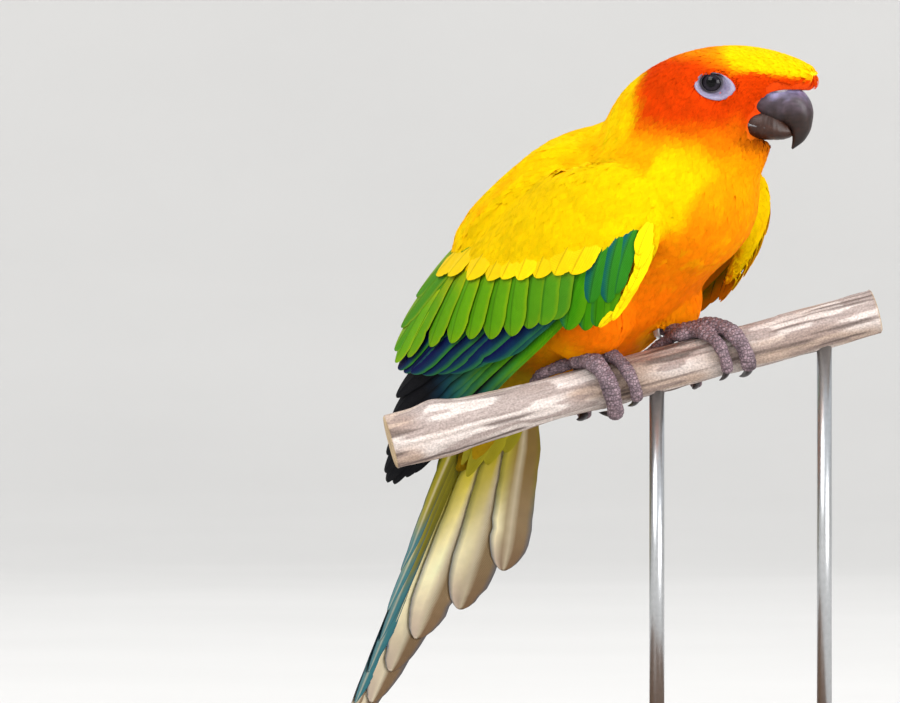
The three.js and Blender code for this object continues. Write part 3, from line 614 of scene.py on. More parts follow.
def gather_flesh():
    bm = bmesh.new()
    for name in ("torso", "neck", "head", "thigh_right", "thigh_left"):
        bm.from_mesh(frame["nodes"][name].data)
    bmesh.ops.remove_doubles(bm, verts=bm.verts, dist=1e-6)
    for side in SIDES.values():
        sweep(bm, pad_rings(side))
        sweep(bm, edge_rings(side))
    egg(bm, np.array([9, 7, 8.5]), (10.5, 0, -4.5), head_frame)
    egg(bm, np.array([8.6, 7.2, 5]), (5.4, 0, -17.4), head_frame, tilt=-10)
    for y in (-11.0, 11.0):
        egg(bm, np.array([5, 4.2, 4.5]), (-1, y, 4), head_frame)
    egg(bm, np.array([26, 11.5, 9]), (-57, 0, -50), bird_frame, tilt=60)
    return from_bmesh("skin", bm)


skin = gather_flesh()
print("loose parts of the skin, vertices", len(skin.data.vertices))

# %% [markdown]
# ## Melting and drawing in
# The coat is about a millimetre deep, so the skin lies that much inside the solids. On the face and round
# the eyes the feathers are shorter, so less is taken away there, and behind each globe the skin is
# dented.

# %% Skin
COAT_DEPTH = 1.15
EYE = dict(x=-1.1, y=11.7, z=4.4, radius=4.2)


def coat_depth(points):
    x, y, z = back(points, head_frame).T
    face = np.exp(-(((x - 16) / 9) ** 2 + ((z + 3) / 12) ** 2))
    eye = np.exp(-(((x - 0.3) / 8) ** 2 + ((z - 3.2) / 6) ** 2)) * (np.abs(y) > 8)
    socket = 1 - soft_step(np.hypot((x - EYE["x"]) / 1.1, z - EYE["z"]), 3.2, 4.4)
    return COAT_DEPTH - 0.5 * np.clip(face + eye, 0, 1) + 2.2 * socket * (np.abs(y) > 8)


fuse(skin, voxel_size=0.0011)
bm = bmesh.new()
bm.from_mesh(skin.data)
all_ways = dict(use_axis_x=True, use_axis_y=True, use_axis_z=True)
for factor in (0.6, -0.62) * 16 + (0.5, 0.5):
    bmesh.ops.smooth_vert(bm, verts=bm.verts, factor=factor, **all_ways)
bmesh.ops.recalc_face_normals(bm, faces=bm.faces)
bm.to_mesh(skin.data)
bm.free()
co, normals = mesh_arrays(skin.data)
co -= normals * coat_depth(co)[:, None]
skin.data.vertices.foreach_set("co", (co * MM).astype(np.float32).ravel())
skin.data.update()
smooth_faces(skin.data)
add_colours(skin.data, plumage(co))
settle(skin, skin_finish, "breast_plumage", ("torso", "neck", "head", "thigh_right", "thigh_left"))
skin_tree = BVHTree.FromPolygons([Vector(p) for p in co], [tuple(f.vertices) for f in skin.data.polygons])
skin_points, _ = mesh_arrays(skin.data)
print("skin span in mm", np.round(co.min(0), 1), np.round(co.max(0), 1))

# %% [markdown]
# ## A feather as a shell
# Every body feather is a thin closed shell. Round its section it has four corners, which are two rims, a
# ridge above and one beneath, and it has six stations from root to tip. All feathers of a patch are
# worked out as arrays and joined in one mesh, because thousands of separate objects would be slow. Rims
# and tips are creased, so that light doesn't run round them.

# %% Feather shells
STATIONS = np.array([0, 0.25, 0.5, 0.72, 0.88, 1.0])
FULLNESS = np.array([0.4, 0.88, 1.0, 0.86, 0.56, 0.08])
ACROSS = np.array([-1.0, 0, 1, 0])
RIDGE = np.array([0, 1.0, 0, -0.7])
CREASED = np.append(np.tile(np.abs(ACROSS) == 1, len(STATIONS) - 1), [True] * len(ACROSS))


def shell_faces(count, around, stations):
    """Four-sided faces of count closed shells, with fans at both ends."""
    ring = np.arange(around)
    step = np.arange(stations - 1)[:, None] * around
    sides = np.stack([step + ring, step + (ring + 1) % around], -1)
    sides = np.concatenate([sides, sides[..., ::-1] + around], -1).reshape(-1, 4)
    fan = np.array([[0, k, k + 1, k + 2] for k in range(1, around - 2, 2)])
    one = np.concatenate([sides[:, ::-1], fan, fan[:, ::-1] + (stations - 1) * around])
    return (one[None] + (np.arange(count) * around * stations)[:, None, None]).reshape(-1, 4)


def on_skin(points):
    """Nearest places on the skin, and the skin's normals there."""
    flat = points.reshape(-1, 3)
    places, outs = np.empty_like(flat), np.empty_like(flat)
    for i, p in enumerate(flat):
        hit = skin_tree.find_nearest(Vector(p))
        places[i], outs[i] = hit[0], hit[1]
    return places.reshape(points.shape), outs.reshape(points.shape)


print("faces of one feather", len(shell_faces(1, len(ACROSS), len(STATIONS))))

# %% [markdown]
# ## Where each feather grows
# Feathers grow in fairly even rows, so random places on the skin are thinned until none is closer than
# the spacing wanted there. Spacing, length and lie change over the bird: tiny and close on the face,
# longer on the neck, and broad on the back. On the wing's shoulder they follow the wing, and on the
# thighs the leg.

# %% Growing places
rng = np.random.RandomState(7)


def mix3(old, new, t):
    return [a * (1 - t) + b * t for a, b in zip(old, new)]


def quilt(points, turn, t, ahead):
    """Spacing, length, half width, lift, lie and patch name of the feathers at points."""
    local = back(points, bird_frame)
    x, _, z = back(points, head_frame).T
    head = soft_step(t, 0.58, 0.7)
    face = head * np.exp(-np.maximum(0, 14 - x) / 10)
    neck = soft_step(t, 0.42, 0.58)
    spacing = 0.94 - 0.16 * neck - 0.14 * head - 0.08 * face
    length = 8.6 - 1.6 * neck - 2.0 * head - 1.6 * face
    half = 1.35 - 0.3 * neck - 0.3 * head - 0.15 * face
    lift = 1.05 - 0.1 * head - 0.25 * face
    down = head * (1 - soft_step(z, 4, 11))
    lie = -ahead + down[:, None] * np.array([0, 0, -0.3])
    names = np.where(t > 0.64, "head", np.where(t > 0.5, "neck", "breast")).astype(object)
    names[(t < 0.5) & (np.sin(turn) > 0.15)] = "back"
    names[(t < 0.12) & (np.sin(turn) <= 0.15)] = "vent"
    by_ring = 1 - soft_step(np.linalg.norm(points - np.array([20, -8, 154]), axis=1), 6, 13)
    lift = lift * (1 - 0.75 * by_ring)
    for title, line in THIGH_LINES.items():
        gap, way = near_line(local, line)
        on = (1 - soft_step(gap, 9, 13)) * (1 - soft_step(local[:, 2], -16, -9))
        lie = mixed(lie, way @ bird_frame[:3, :3].T, on)
        spacing, length, half = (v * (1 - 0.25 * on) for v in (spacing, length, half))
        names[on > 0.5] = "thigh_" + title
    for title, side in SIDES.items():
        on = pad_share(points, side) * (1 - soft_step(t, 0.5, 0.58))
        p, q, _ = wing_place(points, side)
        way = unit(wing_point(p + 1.7, q - 1.1, side) - wing_point(p, q, side))
        lie = mixed(lie, way, on)
        small = 0.75 + 0.25 * soft_step(p, 4, 30)
        broad = (1.08 * small, 9.0 * small, 1.75 * small)
        spacing, length, half = mix3((spacing, length, half), broad, on)
        names[on > 0.5] = "shoulder_" + title
    return spacing, length, half, lift, lie, names


# %% [markdown]
# ## Bare places
# No feather grows inside the ring of bare skin round an eye, on the cere over a nostril, or where the
# bill covers the head. Everywhere else, many random places are drawn and each place kept clears its
# neighbours.

# %% Thinning
LID_TILT = math.radians(-15)
EYE_RING = dict(x=0.2, z=3.15, half=(6.5, 4.15))
CANDIDATES = 420000


def on_bare_skin(points, grow=0.0):
    """Whether points lie inside the bare ring round an eye, or on the bare skin over a nostril."""
    x, y, z = back(points, head_frame).T
    dx, dz = x - EYE_RING["x"], z - EYE_RING["z"]
    u = dx * math.cos(LID_TILT) + dz * math.sin(LID_TILT)
    v = -dx * math.sin(LID_TILT) + dz * math.cos(LID_TILT)
    wide, high = EYE_RING["half"]
    ring = (np.abs(y) > 7) & ((u / (wide + grow)) ** 2 + (v / (high + grow)) ** 2 < 1)
    over_nostril = ((x - 19.4) / (3.1 + grow)) ** 2 + ((z - 2.4) / (2.0 + grow)) ** 2 < 1
    return ring | ((np.abs(y) > 2) & over_nostril)


def bare(points):
    """Places where no feather grows: round the eyes and where the bill covers the skin."""
    x, y, z = back(points, head_frame).T
    bill = (x > 8.5) & (np.abs(y) < 7.4 + 1.5 * (x > 12)) & (z < 2.2 + 0.2 * (x - 12)) & (z > -13.8)
    return on_bare_skin(points) | bill


def growing_places():
    faces = [tuple(f.vertices) for f in skin.data.polygons]
    corners = skin_points[np.array([(*face, face[-1])[:4] for face in faces])]
    area = np.array([f.area for f in skin.data.polygons])
    middle = corners.mean(1)
    t, turn, ahead = body_place(middle)
    area = area / quilt(middle, turn, t, ahead)[0] ** 2
    pick = rng.choice(len(corners), CANDIDATES, p=area / area.sum())
    u, v = rng.rand(2, len(pick), 1)
    c = corners[pick]
    points = (c[:, 0] * (1 - u) + c[:, 1] * u) * (1 - v) + (c[:, 3] * (1 - u) + c[:, 2] * u) * v
    points = points[~bare(points)]
    t, turn, ahead = body_place(points)
    spacing = quilt(points, turn, t, ahead)[0]
    tree = KDTree(len(points))
    for i, p in enumerate(points):
        tree.insert(p, i)
    tree.balance()
    free = np.ones(len(points), bool)
    kept = []
    for i in range(len(points)):
        if free[i]:
            kept.append(i)
            for _, j, _ in tree.find_range(points[i], spacing[i]):
                free[j] = False
    return points[kept]


roots = growing_places()
t_root, turn_root, ahead_root = body_place(roots)
spacing, length, half, lift, lie, patch = quilt(roots, turn_root, t_root, ahead_root)
print("feathers on the skin", len(roots), dict(zip(*np.unique(patch.astype(str), return_counts=True))))

# %% [markdown]
# ## How each feather runs
# Chance changes each feather's size and way a little, as on a live bird. One that would reach over bare
# skin, or from the shoulder past the covert feathers' tips, is shortened step by step. Its stations then
# walk over the skin, so that the feather bends with the body.


# %% Size, way and spine
def jitter(amount):
    return 1 + amount * (rng.rand(len(roots)) * 2 - 1)


COVERT_TIPS = [34, 50, 66, 91], [0.5, 10, 19.5, 39.5]


def too_long(way, grown):
    long = np.zeros(len(roots), bool)
    for s in (0.5, 0.75, 1.0):
        long |= on_bare_skin(roots + way * grown[:, None] * s, 0.3)
    for side in SIDES.values():
        p, q, _ = wing_place(roots + way * grown[:, None], side)
        long |= (pad_share(roots, side) > 0.3) & (p > 33) & (q < np.interp(p, *COVERT_TIPS) + 2)
    return long


def lie_down():
    """Length, half width and way of every feather, and the skin's normal at its root."""
    grown = length * jitter(0.16)
    wide = half * jitter(0.14)
    _, out = on_skin(roots)
    way = unit(lie - (lie * out).sum(1, keepdims=True) * out)
    side = np.cross(out, way)
    way = unit(way + side * (rng.rand(len(roots), 1) * 2 - 1) * 0.2)
    for _ in range(6):
        long = too_long(way, grown)
        grown[long] *= 0.7
        wide[long] *= 0.9
    return grown, wide, way, out


def walk(way, out):
    """Places of the stations on the skin, and the normals there."""
    spine = np.empty((len(roots), len(STATIONS), 3))
    outs = np.empty_like(spine)
    here, normal = roots.copy(), out
    for k, s in enumerate(STATIONS):
        if k:
            step = (s - STATIONS[k - 1]) * grown
            here, normal = on_skin(here + way * step[:, None])
            way = unit(way - (way * normal).sum(1, keepdims=True) * normal)
        spine[:, k], outs[:, k] = here, normal
    return spine, outs


grown, half_width, root_way, root_out = lie_down()
spine, outs = walk(root_way, root_out)
print("feather length in mm", np.round([grown.min(), np.median(grown), grown.max()], 1))

# %% [markdown]
# ## The coat
# Each feather starts a little inside the skin and rises towards its tip, so tips lie over the roots
# behind them like shingles. Its colour is read from the markings under its own tip, with a deeper base
# and paler rim, and a small random change keeps neighbours apart. A second map keeps each feather as a
# tiny patch at its root's place.

# %% Body feathers
RISE = np.array([-0.15, 0.42, 0.8, 0.93, 0.98, 0.95])
LAG = np.array([0, 0, 0.2, 0.7, 1.2, 1])
FRAY = np.array([0, 0, 0, 0.3, 1, 1])
IN_ONE_PIECE = 4200


def coat_shape():
    """Corners of all shells, half widths at the stations, and the ways out of the skin."""
    halfw = half_width[:, None] * FULLNESS[None]
    rise = RISE[None] * (lift * jitter(0.07) * np.clip(grown / length * 1.25, 0.1, 1))[:, None]
    up = unit(outs + 0.5 * np.roll(outs, 1, 1) * (np.arange(len(STATIONS)) > 0)[None, :, None])
    run = unit(np.gradient(spine, axis=1))
    across = unit(np.cross(up, run))
    lag = (0.45 * np.abs(ACROSS) ** 2 * LAG[:, None])[None]
    frayed = 0.7 * rng.rand(len(roots), 1, 4)[..., [0, 1, 2, 1]] * FRAY[None, :, None]
    at = spine[:, :, None] + across[:, :, None] * (halfw[..., None] * ACROSS)[..., None]
    at = at - run[:, :, None] * (halfw[..., None] * lag + half_width[:, None, None] * frayed)[..., None]
    height = rise[..., None] + 0.07 * RIDGE - 0.035 * halfw[..., None] * np.abs(ACROSS) ** 2
    return at + up[:, :, None] * height[..., None], halfw, up


def coat_colour(up):
    shade = plumage(spine[:, 4] + up[:, 4]) * jitter(0.06)[:, None]
    base = shade * np.array([0.99, 0.93, 0.86])
    rim = np.clip(shade * np.array([1.0, 1.04, 1.0]), 0, 1)
    outer = soft_step(STATIONS, 0.2, 0.7)[None, :, None, None]
    edge = (np.abs(ACROSS)[None, None, :, None] ** 2) * 0.6 + 0.4 * (STATIONS > 0.9)[None, :, None, None]
    colour = base[:, None, None] * (1 - outer) + shade[:, None, None] * outer
    colour = colour * (1 - edge * outer) + rim[:, None, None] * edge * outer
    return np.clip(colour, 0, 1)


def coat_maps(halfw):
    web = np.empty((len(roots), len(STATIONS), len(ACROSS), 2))
    web[..., 0] = halfw[..., None] * ACROSS
    web[..., 1] = (grown[:, None] * STATIONS)[..., None] + rng.rand(len(roots), 1, 1) * 40
    spot = np.empty_like(web)
    spot[..., 0] = 0.03 + 0.94 * (turn_root / (2 * np.pi) + 0.5)[:, None, None] + 0.0014 * ACROSS
    spot[..., 1] = 0.03 + 0.94 * t_root[:, None, None] + 0.003 * (STATIONS[:, None] - 0.5)
    return spot, web


SLOT_OF = {"head": "head_plumage", "neck": "neck_plumage", "shoulder_right": "wing_plumage"}
SLOT_OF |= {"shoulder_left": "wing_plumage", "thigh_right": "thigh_plumage", "thigh_left": "thigh_plumage"}
feather_at, feather_half, feather_up = coat_shape()
feather_colour = coat_colour(feather_up)
feather_spot, feather_web = coat_maps(feather_half)
for name in sorted(set(patch)):
    mine = np.flatnonzero(patch == name)
    mine = mine[np.argsort(turn_root[mine])]
    for part, some in enumerate(np.array_split(mine, math.ceil(len(mine) / IN_ONE_PIECE))):
        piece = from_arrays(
            f"{name}_feathers_{part + 1}",
            feather_at[some].reshape(-1, 3),
            shell_faces(len(some), len(ACROSS), len(STATIONS)),
            feather_colour[some].reshape(-1, 3),
            feather_spot[some].reshape(-1, 2),
            feather_web[some].reshape(-1, 2),
            np.tile(CREASED, len(some)),
        )
        settle(piece, down, SLOT_OF.get(name, "breast_plumage"))

# %% [markdown]
# ## Long feathers
# Flight and tail feathers show their whole vane: a shaft, two webs, a rounded tip and small splits where
# barbs have parted. Each is a closed shell with many stations, laid on its sheet and leaned a little so
# that it overlaps the next one like a roof tile. Colours differ on the outer web, the inner web and the
# underside.

# %% Long feather maker
TOP = np.array([-1, -0.72, -0.4, -0.1, 0, 0.1, 0.4, 0.72, 1])
UNDER = np.array([0.72, 0.3, 0, -0.3, -0.72])
ROUND = np.concatenate([TOP, UNDER])
IS_UNDER = np.arange(len(ROUND)) >= len(TOP)
ABOVE = [0, 0.16, 0.19, 0.2, 0.42, 0.2, 0.19, 0.16, 0]
THICK = np.array(ABOVE + [-0.13, -0.16, -0.3, -0.16, -0.13])
VANE_STATIONS = 22
TIP_WIDTH = 0.16
ATLAS = 12


def long_feather(place, long, wide, rnd, blunt, taper=0.5):
    """place(x, y, h) lays x across, y along and h above. Gives the points, across and along values for
    colouring, and x and y for the map."""
    even = np.linspace(0, 0.78, VANE_STATIONS - 8, endpoint=False)
    s = np.concatenate([even, 1 - 0.22 * np.linspace(1, 0, 8) ** 1.6])
    base = taper + (1 - taper) * np.minimum(1, s / 0.35)
    end = np.sqrt(np.clip(1 - np.clip((s - blunt) / (1 - blunt), 0, 1) ** 2 * (1 - TIP_WIDTH**2), 0, 1))
    left = wide / 2 * base * end
    right = left * (1 + 0.012 * rnd.randn(VANE_STATIONS))
    left = left * (1 + 0.012 * rnd.randn(VANE_STATIONS))
    parted = rnd.randint(VANE_STATIONS // 2, VANE_STATIONS - 3)
    web = left if rnd.rand() < 0.5 else right
    web[parted] *= 0.9
    x = np.where(ROUND[None] < 0, left[:, None] * ROUND, right[:, None] * ROUND)
    y = s[:, None] * long - 0.3 * np.abs(ROUND) ** 2 * (left[:, None]) * soft_step(s, 0.5, 1)[:, None]
    h = THICK[None] * (1 - 0.45 * s[:, None]) * np.where(s > 0.985, 0.5, 1)[:, None] - 0.05 * np.abs(x)
    return place(x, y, h), np.broadcast_to(ROUND, x.shape), np.broadcast_to(s[:, None], x.shape), x, y


def plumes(name, made, slot, stands_for):
    """Joins long feathers, each (points, colours, x, y), in one piece with its two maps."""
    verts, colours, spots, webs, faces = [], [], [], [], []
    for i, (at, colour, x, y) in enumerate(made):
        corners = at.reshape(-1, 3)
        verts.append(corners)
        colours.append(colour.reshape(-1, 3))
        shell = shell_faces(1, len(ROUND), VANE_STATIONS)
        a, b, c = (corners[shell[:, k]] - corners[0] for k in range(3))
        inside_out = (np.cross(b, c) * a).sum() < 0
        faces.append((shell[:, ::-1] if inside_out else shell) + i * len(corners))
        cell = np.array([i % ATLAS, i // ATLAS]) / ATLAS
        turn = np.where(IS_UNDER, 0.5 + (1 - ROUND) / 4, (ROUND + 1) / 4)
        u = 0.06 + 0.88 * np.broadcast_to(turn, x.shape)
        v = 0.06 + 0.88 * (y / y.max())
        spots.append((np.stack([u, v], -1) / ATLAS + cell).reshape(-1, 2))
        webs.append(np.stack([x, y], -1).reshape(-1, 2))
    rims = np.tile(np.abs(ROUND) == 1, len(made) * VANE_STATIONS)
    piece = from_arrays(name, *(np.concatenate(v) for v in (verts, faces, colours, spots, webs)), rims)
    settle(piece, vane_finish, slot, stands_for)


print("corners round a long feather", len(ROUND))

# %% [markdown]
# ## The folded wings
# A folded wing is read in tiers from below: the long primaries, the secondaries that stack over them, the
# green greater coverts, and the yellow median coverts that fade into the shoulder. Each tier runs evenly
# from a front feather to a back one, so a few measured roots and tips are enough to place them all.

# %% Wing feathers
GREEN, LEAF, LIME = paint("347C03"), paint("589103"), paint("93A804")
NAVY, INK, TEAL = paint("050A3C"), paint("030308"), paint("0A4B58")
YELLOW, GOLD_SHADE = paint("F0CC02"), paint("D8B002")


def tier_colours(tier, web, s, i, share, under):
    """Colours of one feather. web runs from its outer rim at -1 to its inner one at 1, s from root to tip."""
    rim = soft_step(np.abs(web), 0.72, 1.0)
    tip = soft_step(s, 0.82, 1.0)
    if tier == "primaries":
        green = mixed(GREEN, paint("0A4A6A"), soft_step(s, 0.35, 0.7))
        c = mixed(INK, green, soft_step(-web, 0.45, 0.62) * (1 - soft_step(s, 0.5, 0.78)))
        c = mixed(c, LEAF, soft_step(-web, 0.8, 0.97) * (1 - soft_step(s, 0.4, 0.66)) * 0.8)
        c = mixed(c, INK, soft_step(s, 0.6, 0.85))
    elif tier == "secondaries":
        c = mixed(NAVY, paint("081560"), 0.5 + 0.5 * np.sin(web * 3))
        c = mixed(c, INK, soft_step(web, -0.3, 0.2) * 0.8)
        c = mixed(c, TEAL, soft_step(-web, 0.6, 0.85) * 0.7)
        c = mixed(c, GREEN, soft_step(-web, 0.84, 0.97) * (0.4 + 0.6 * share) * (1 - 0.5 * tip))
    elif tier == "tertials":
        c = mixed(paint("44850C"), paint("7C9A0C"), soft_step(web, -0.4, 0.8))
        c = mixed(c, LIME, rim * 0.6)
    elif tier == "greater_coverts":
        c = mixed(LEAF, GREEN, 0.45 + 0.4 * np.sin(web * 2.2) - 0.35 * share)
        c = mixed(c, paint("2E7A22"), (1 - share) ** 3 * 0.5)
        pale = np.clip(soft_step(np.abs(web), 0.84, 1) * 0.8 + tip * 0.3, 0, 1)
        c = mixed(c, LIME, pale * (0.4 + 0.5 * share))
        c = mixed(c, YELLOW, (1 - soft_step(s, 0.15, 0.45)) * 0.2)
    elif tier == "primary_coverts":
        c = mixed(GREEN, paint("136045"), soft_step(web, 0.0, 0.8) * 0.8)
        c = mixed(c, LEAF, soft_step(-web, 0.3, 0.95) * 0.6)
    elif tier == "alula":
        c = mixed(paint("2A7518"), paint("0B5552"), soft_step(web, -0.2, 0.6))
    elif tier == "edge_coverts":
        c = mixed(paint("F8D802"), YELLOW, tip)
    else:
        c = mixed(YELLOW, GOLD_SHADE, 0.35 * (1 - rim) * (1 - tip))
        c = mixed(c, paint("C9C20A"), tip * 0.3 * (i % 2))
    shaft = 1 - soft_step(np.abs(web), 0.0, 0.09)
    c = c * (1 - 0.35 * shaft * (~under))[..., None]
    below = mixed(c * 0.45, paint("6B6C5C"), np.full_like(web, 0.45))
    short = tier in ("edge_coverts", "alula", "primary_coverts", "median_coverts")
    lining = 0.9 if short else 0.8 * (1 - soft_step(s, 0.35, 0.6))
    below = mixed(below, paint("FFC408"), lining * np.ones_like(web))
    return np.where(under[..., None], below, c)


print("leaf green as linear light", np.round(LEAF, 3))

# %% [markdown]
# ## The tiers
# Roots and tips are measured on the wing's sheet, in millimetres, for a few feathers of each tier. The rise
# tells how high a tier lies over the sheet at its root and at its tip, the lean tilts each feather over the
# next one, and blunt is the share of its length at which a feather starts to narrow.

# %% Tiers of the wing
TIERS = {
    "primaries": dict(
        roots=[[22, -6], [26, -3], [31, 1], [36, 5]], tips=[[146, -2], [163, 4], [152, 11], [132, 19]],
        count=9, width=[9, 10.5, 11, 11], rise=(-1.6, -0.6), lean=0.17, blunt=0.62,
    ),
    "secondaries": dict(
        roots=[[36, -1], [47, 3], [62, 12], [72, 24]], tips=[[80, 0], [97, 6], [113, 15], [124, 25]],
        count=9, width=[11, 11.5, 12, 12], rise=(-0.6, 1.0), lean=0.16, blunt=0.72,
    ),
    "tertials": dict(
        roots=[[70, 38], [66, 42], [62, 45]], tips=[[123, 31], [117, 37], [109, 43]],
        count=3, width=[12, 12, 11], rise=(0, 2.4), lean=0.06, blunt=0.7,
    ),
    "greater_coverts": dict(
        roots=[[30, 9], [44, 19], [63, 30], [84, 38]], tips=[[51, -5], [68, 0], [90, 12], [122, 25]],
        count=10, width=[10.5, 11, 11.5, 12], rise=(0.2, 2.6), lean=0.13, blunt=0.7,
    ),
    "primary_coverts": dict(
        roots=[[17, -1], [20, 1], [25, 3]], tips=[[38, -14], [44, -13.5], [51, -10]],
        count=4, width=[7.5, 8, 8.5], rise=(0.2, 2.0), lean=0.1, blunt=0.66,
    ),
    "alula": dict(
        roots=[[10, 1], [14, 2], [17, 4]], tips=[[28, -11.5], [33, -11.5], [37, -9]],
        count=3, width=[5.5, 6.2, 6.5], rise=(0.4, 2.2), lean=0.08, blunt=0.62,
    ),
    "edge_coverts": dict(
        roots=[[5, 0], [11, -7.5], [20, -12], [29, -14.5]],
        tips=[[14, -7], [23, -12], [33, -14.6], [41, -15.2]],
        count=9, width=[3.8, 3.0, 2.4, 2.0], rise=(0.4, 2.5), lean=0.0, blunt=0.55,
    ),
    "median_coverts": dict(
        roots=[[18, 8], [36, 18], [52, 28], [74, 44]], tips=[[34, 0], [50, 9.5], [66, 19], [91, 39]],
        count=9, width=[9.5, 11, 12, 13], rise=(-1.2, 3.0), lean=0.1, blunt=0.6,
    ),
}

print("feathers in each wing", sum(row["count"] for row in TIERS.values()))


# %% [markdown]
# ## Laying the wings
# Each feather is drawn flat from its root to its tip, and the sheet bends it round the flank. Tips, widths and
# tones change a little by chance, with a seed of their own for each wing, so that the lesson always gives the
# same bird.

# %% Both wings
def wing_feathers(side, rnd):
    made = []
    for tier, row in TIERS.items():
        for i in range(row["count"]):
            share = i / (row["count"] - 1)
            root, tip = along(row["roots"], share), along(row["tips"], share)
            tip = tip + rnd.randn(2) * 0.5
            run = tip - root
            far = float(np.hypot(*run))
            cp, cq = run / far

            def place(x, y, h):
                t = np.clip(y / far, 0, 1)
                low, high = row["rise"]
                height = low + (high - low) * np.sqrt(t) - x * row["lean"] + h
                height = height + 0.12 * np.sin(i * 2.4)
                return on_wing(root[0] + cp * y - cq * x, root[1] + cq * y + cp * x, height, side)

            wide = float(along(row["width"], share)) * (1 + 0.04 * rnd.randn())
            at, across, s, x, y = long_feather(place, far, wide, rnd, blunt=row["blunt"])
            under = np.broadcast_to(IS_UNDER, x.shape)
            colour = tier_colours(tier, across, s, i, share, under)
            colour = np.clip(colour * (1 + 0.05 * rnd.randn()), 0, 1)
            made.append((at, colour, x, y))
    return made


for title, side in SIDES.items():
    made = wing_feathers(side, np.random.RandomState(11 if title == "right" else 12))
    plumes(f"wing_feathers_{title}", made, "wing_plumage", (f"wing_{title}",))

# %% [markdown]
# ## The tail
# Twelve feathers, the middle pair longest, step down to the sides and fold like a low roof. From above
# they are olive green with blue tips. From below they are pale, and grey-brown towards their tips and
# edges; the brown on each inner side is partly painted shadow from the next feather. Coverts above and
# below hide the roots.

# %% Tail feathers
OLIVE, BLUE_TIP = paint("8F8A0B"), paint("0E6A94")
CREAM, BROWN_AND_SHADOW = paint("FFF4C6"), paint("74583A")
TAIL_LONG = [136, 125, 112, 98, 84, 67]
TAIL_WIDE = [13, 14, 14.5, 15, 15, 13.5]
TAIL_ROOTS = {1: [1.6, 3, 4.8, 7.6, 11.6, 15.4], -1: [1.6, 3, 4.6, 6.6, 8.8, 10]}
TAIL_TURNS = {1: [0.2, 0.5, 0.4, 0.8, 4.6, 9.5], -1: [0.2, 0.5, 0.5, 1.6, 6.4, 12.8]}


def tail_colours(across, s, under, near, inner):
    """Colours of one tail feather. The share near, from 0 to 1, is for those folded on the near side, and
    inner grows from the middle pair outwards."""
    rim = soft_step(np.abs(across), 0.7, 1.0)
    top = mixed(OLIVE, paint("5C7F10"), soft_step(-across, -0.2, 0.8) * 0.6)
    top = mixed(top, paint("2C7A4C"), soft_step(s, 0.45, 0.72) * 0.7)
    top = mixed(top, BLUE_TIP, soft_step(s + 0.14 * rim, 0.62, 0.9))
    low = mixed(CREAM, paint("CDBB22"), 1 - soft_step(s, 0.3, 0.75))
    low = mixed(low, paint("C2AF9C"), soft_step(s, 0.72, 1.0))
    # the inner side turns brown: partly its own brown inner web, partly painted shadow from the overlapping
    # neighbour
    low = mixed(low, BROWN_AND_SHADOW, soft_step(across + 0.12 * inner, 0.05, 0.4) * 0.9)
    olive = soft_step(-across, 0.35, 0.75) * (0.3 + 0.1 * inner) * (1 - soft_step(s, 0.5, 0.8))
    low = mixed(low, paint("A79A3C"), olive)
    low = mixed(low, BROWN_AND_SHADOW, soft_step(-across, 0.8, 1.0) * 0.6)
    folded = mixed(paint("A89E12"), paint("6D6A0A"), soft_step(np.abs(across + 0.2), 0.2, 0.8))
    folded = mixed(folded, paint("1F7F8C"), soft_step(s + 0.1 * rim, 0.68, 0.86))
    folded = mixed(folded, paint("2E2C08"), rim * 0.5)
    low = mixed(low, folded, near)
    shaft = (1 - soft_step(np.abs(across), 0, 0.08))[..., None]
    top, low = top * (1 - 0.4 * shaft), low + (paint("E9DEC0") - low) * 0.5 * shaft
    edge = mixed(top, low, 0.6) * 0.8
    top = mixed(top, edge, (np.abs(across) > 0.99) * 1.0)
    return np.where(under[..., None], low, top)


print("tail feathers", 2 * len(TAIL_LONG), "longest in mm", max(TAIL_LONG))


# %% [markdown]
# ## Laying the tail
# The feathers go on in pairs from the middle, each pair a little lower than the last, so that they overlap as
# a folded tail does. The near side's are folded closer. Ten short coverts then hide the roots.

# %% Tail
def tail_feathers(rnd):
    made = []

    def add(sign, origin, start, turn, far, wide, rise, lean, pair, blunt, covert=None):
        c, s_ = math.cos(math.radians(turn)), math.sin(math.radians(turn))

        def place(x, y, h):
            x = x * sign
            height = rise[0] + (rise[1] - rise[0]) * np.minimum(1, y / far * 3) - x * lean + h
            return on_tail(sign * (origin + y * s_ + x * c), start + y * c - x * s_, height)

        at, across, s, x, y = long_feather(place, far, wide, rnd, blunt, taper=0.45)
        under = np.broadcast_to(IS_UNDER, x.shape)
        colour = tail_colours(across, s, under, 0.85 if sign < 0 and pair > 0 else 0.0, pair)
        if covert is not None:
            paler = soft_step(np.abs(across), 0.5, 1)
            colour = mixed(covert, covert * 1.25, paler) * np.ones(x.shape + (1,))
        made.append((at, np.clip(colour * (1 + 0.05 * rnd.randn()), 0, 1), x, y))

    for i in range(6):
        for sign in (-1, 1):
            rise = (0.5 - i * 0.2, 2.4 - i)
            root, turn = TAIL_ROOTS[sign][i], TAIL_TURNS[sign][i]
            add(sign, root, 2, turn, TAIL_LONG[i], TAIL_WIDE[i], rise, 0.05, i, 0.8)
    for i, sign in ((0, 1), (1, 1), (1, -1), (2, 1), (2, -1)):
        add(sign, i * 4, 3, i * 5, 42 - i * 7, 11, (2, 4.6 - i * 0.5), 0, 0, 0.5, paint("A8A60C"))
        add(sign, i * 4, 3, i * 5, 33 - i * 5, 10, (-2, -4.8 + i * 0.2), 0, 0, 0.5, paint("938A1C"))
    return made


plumes("tail_feathers", tail_feathers(np.random.RandomState(21)), "tail_plumage", ("tail",))

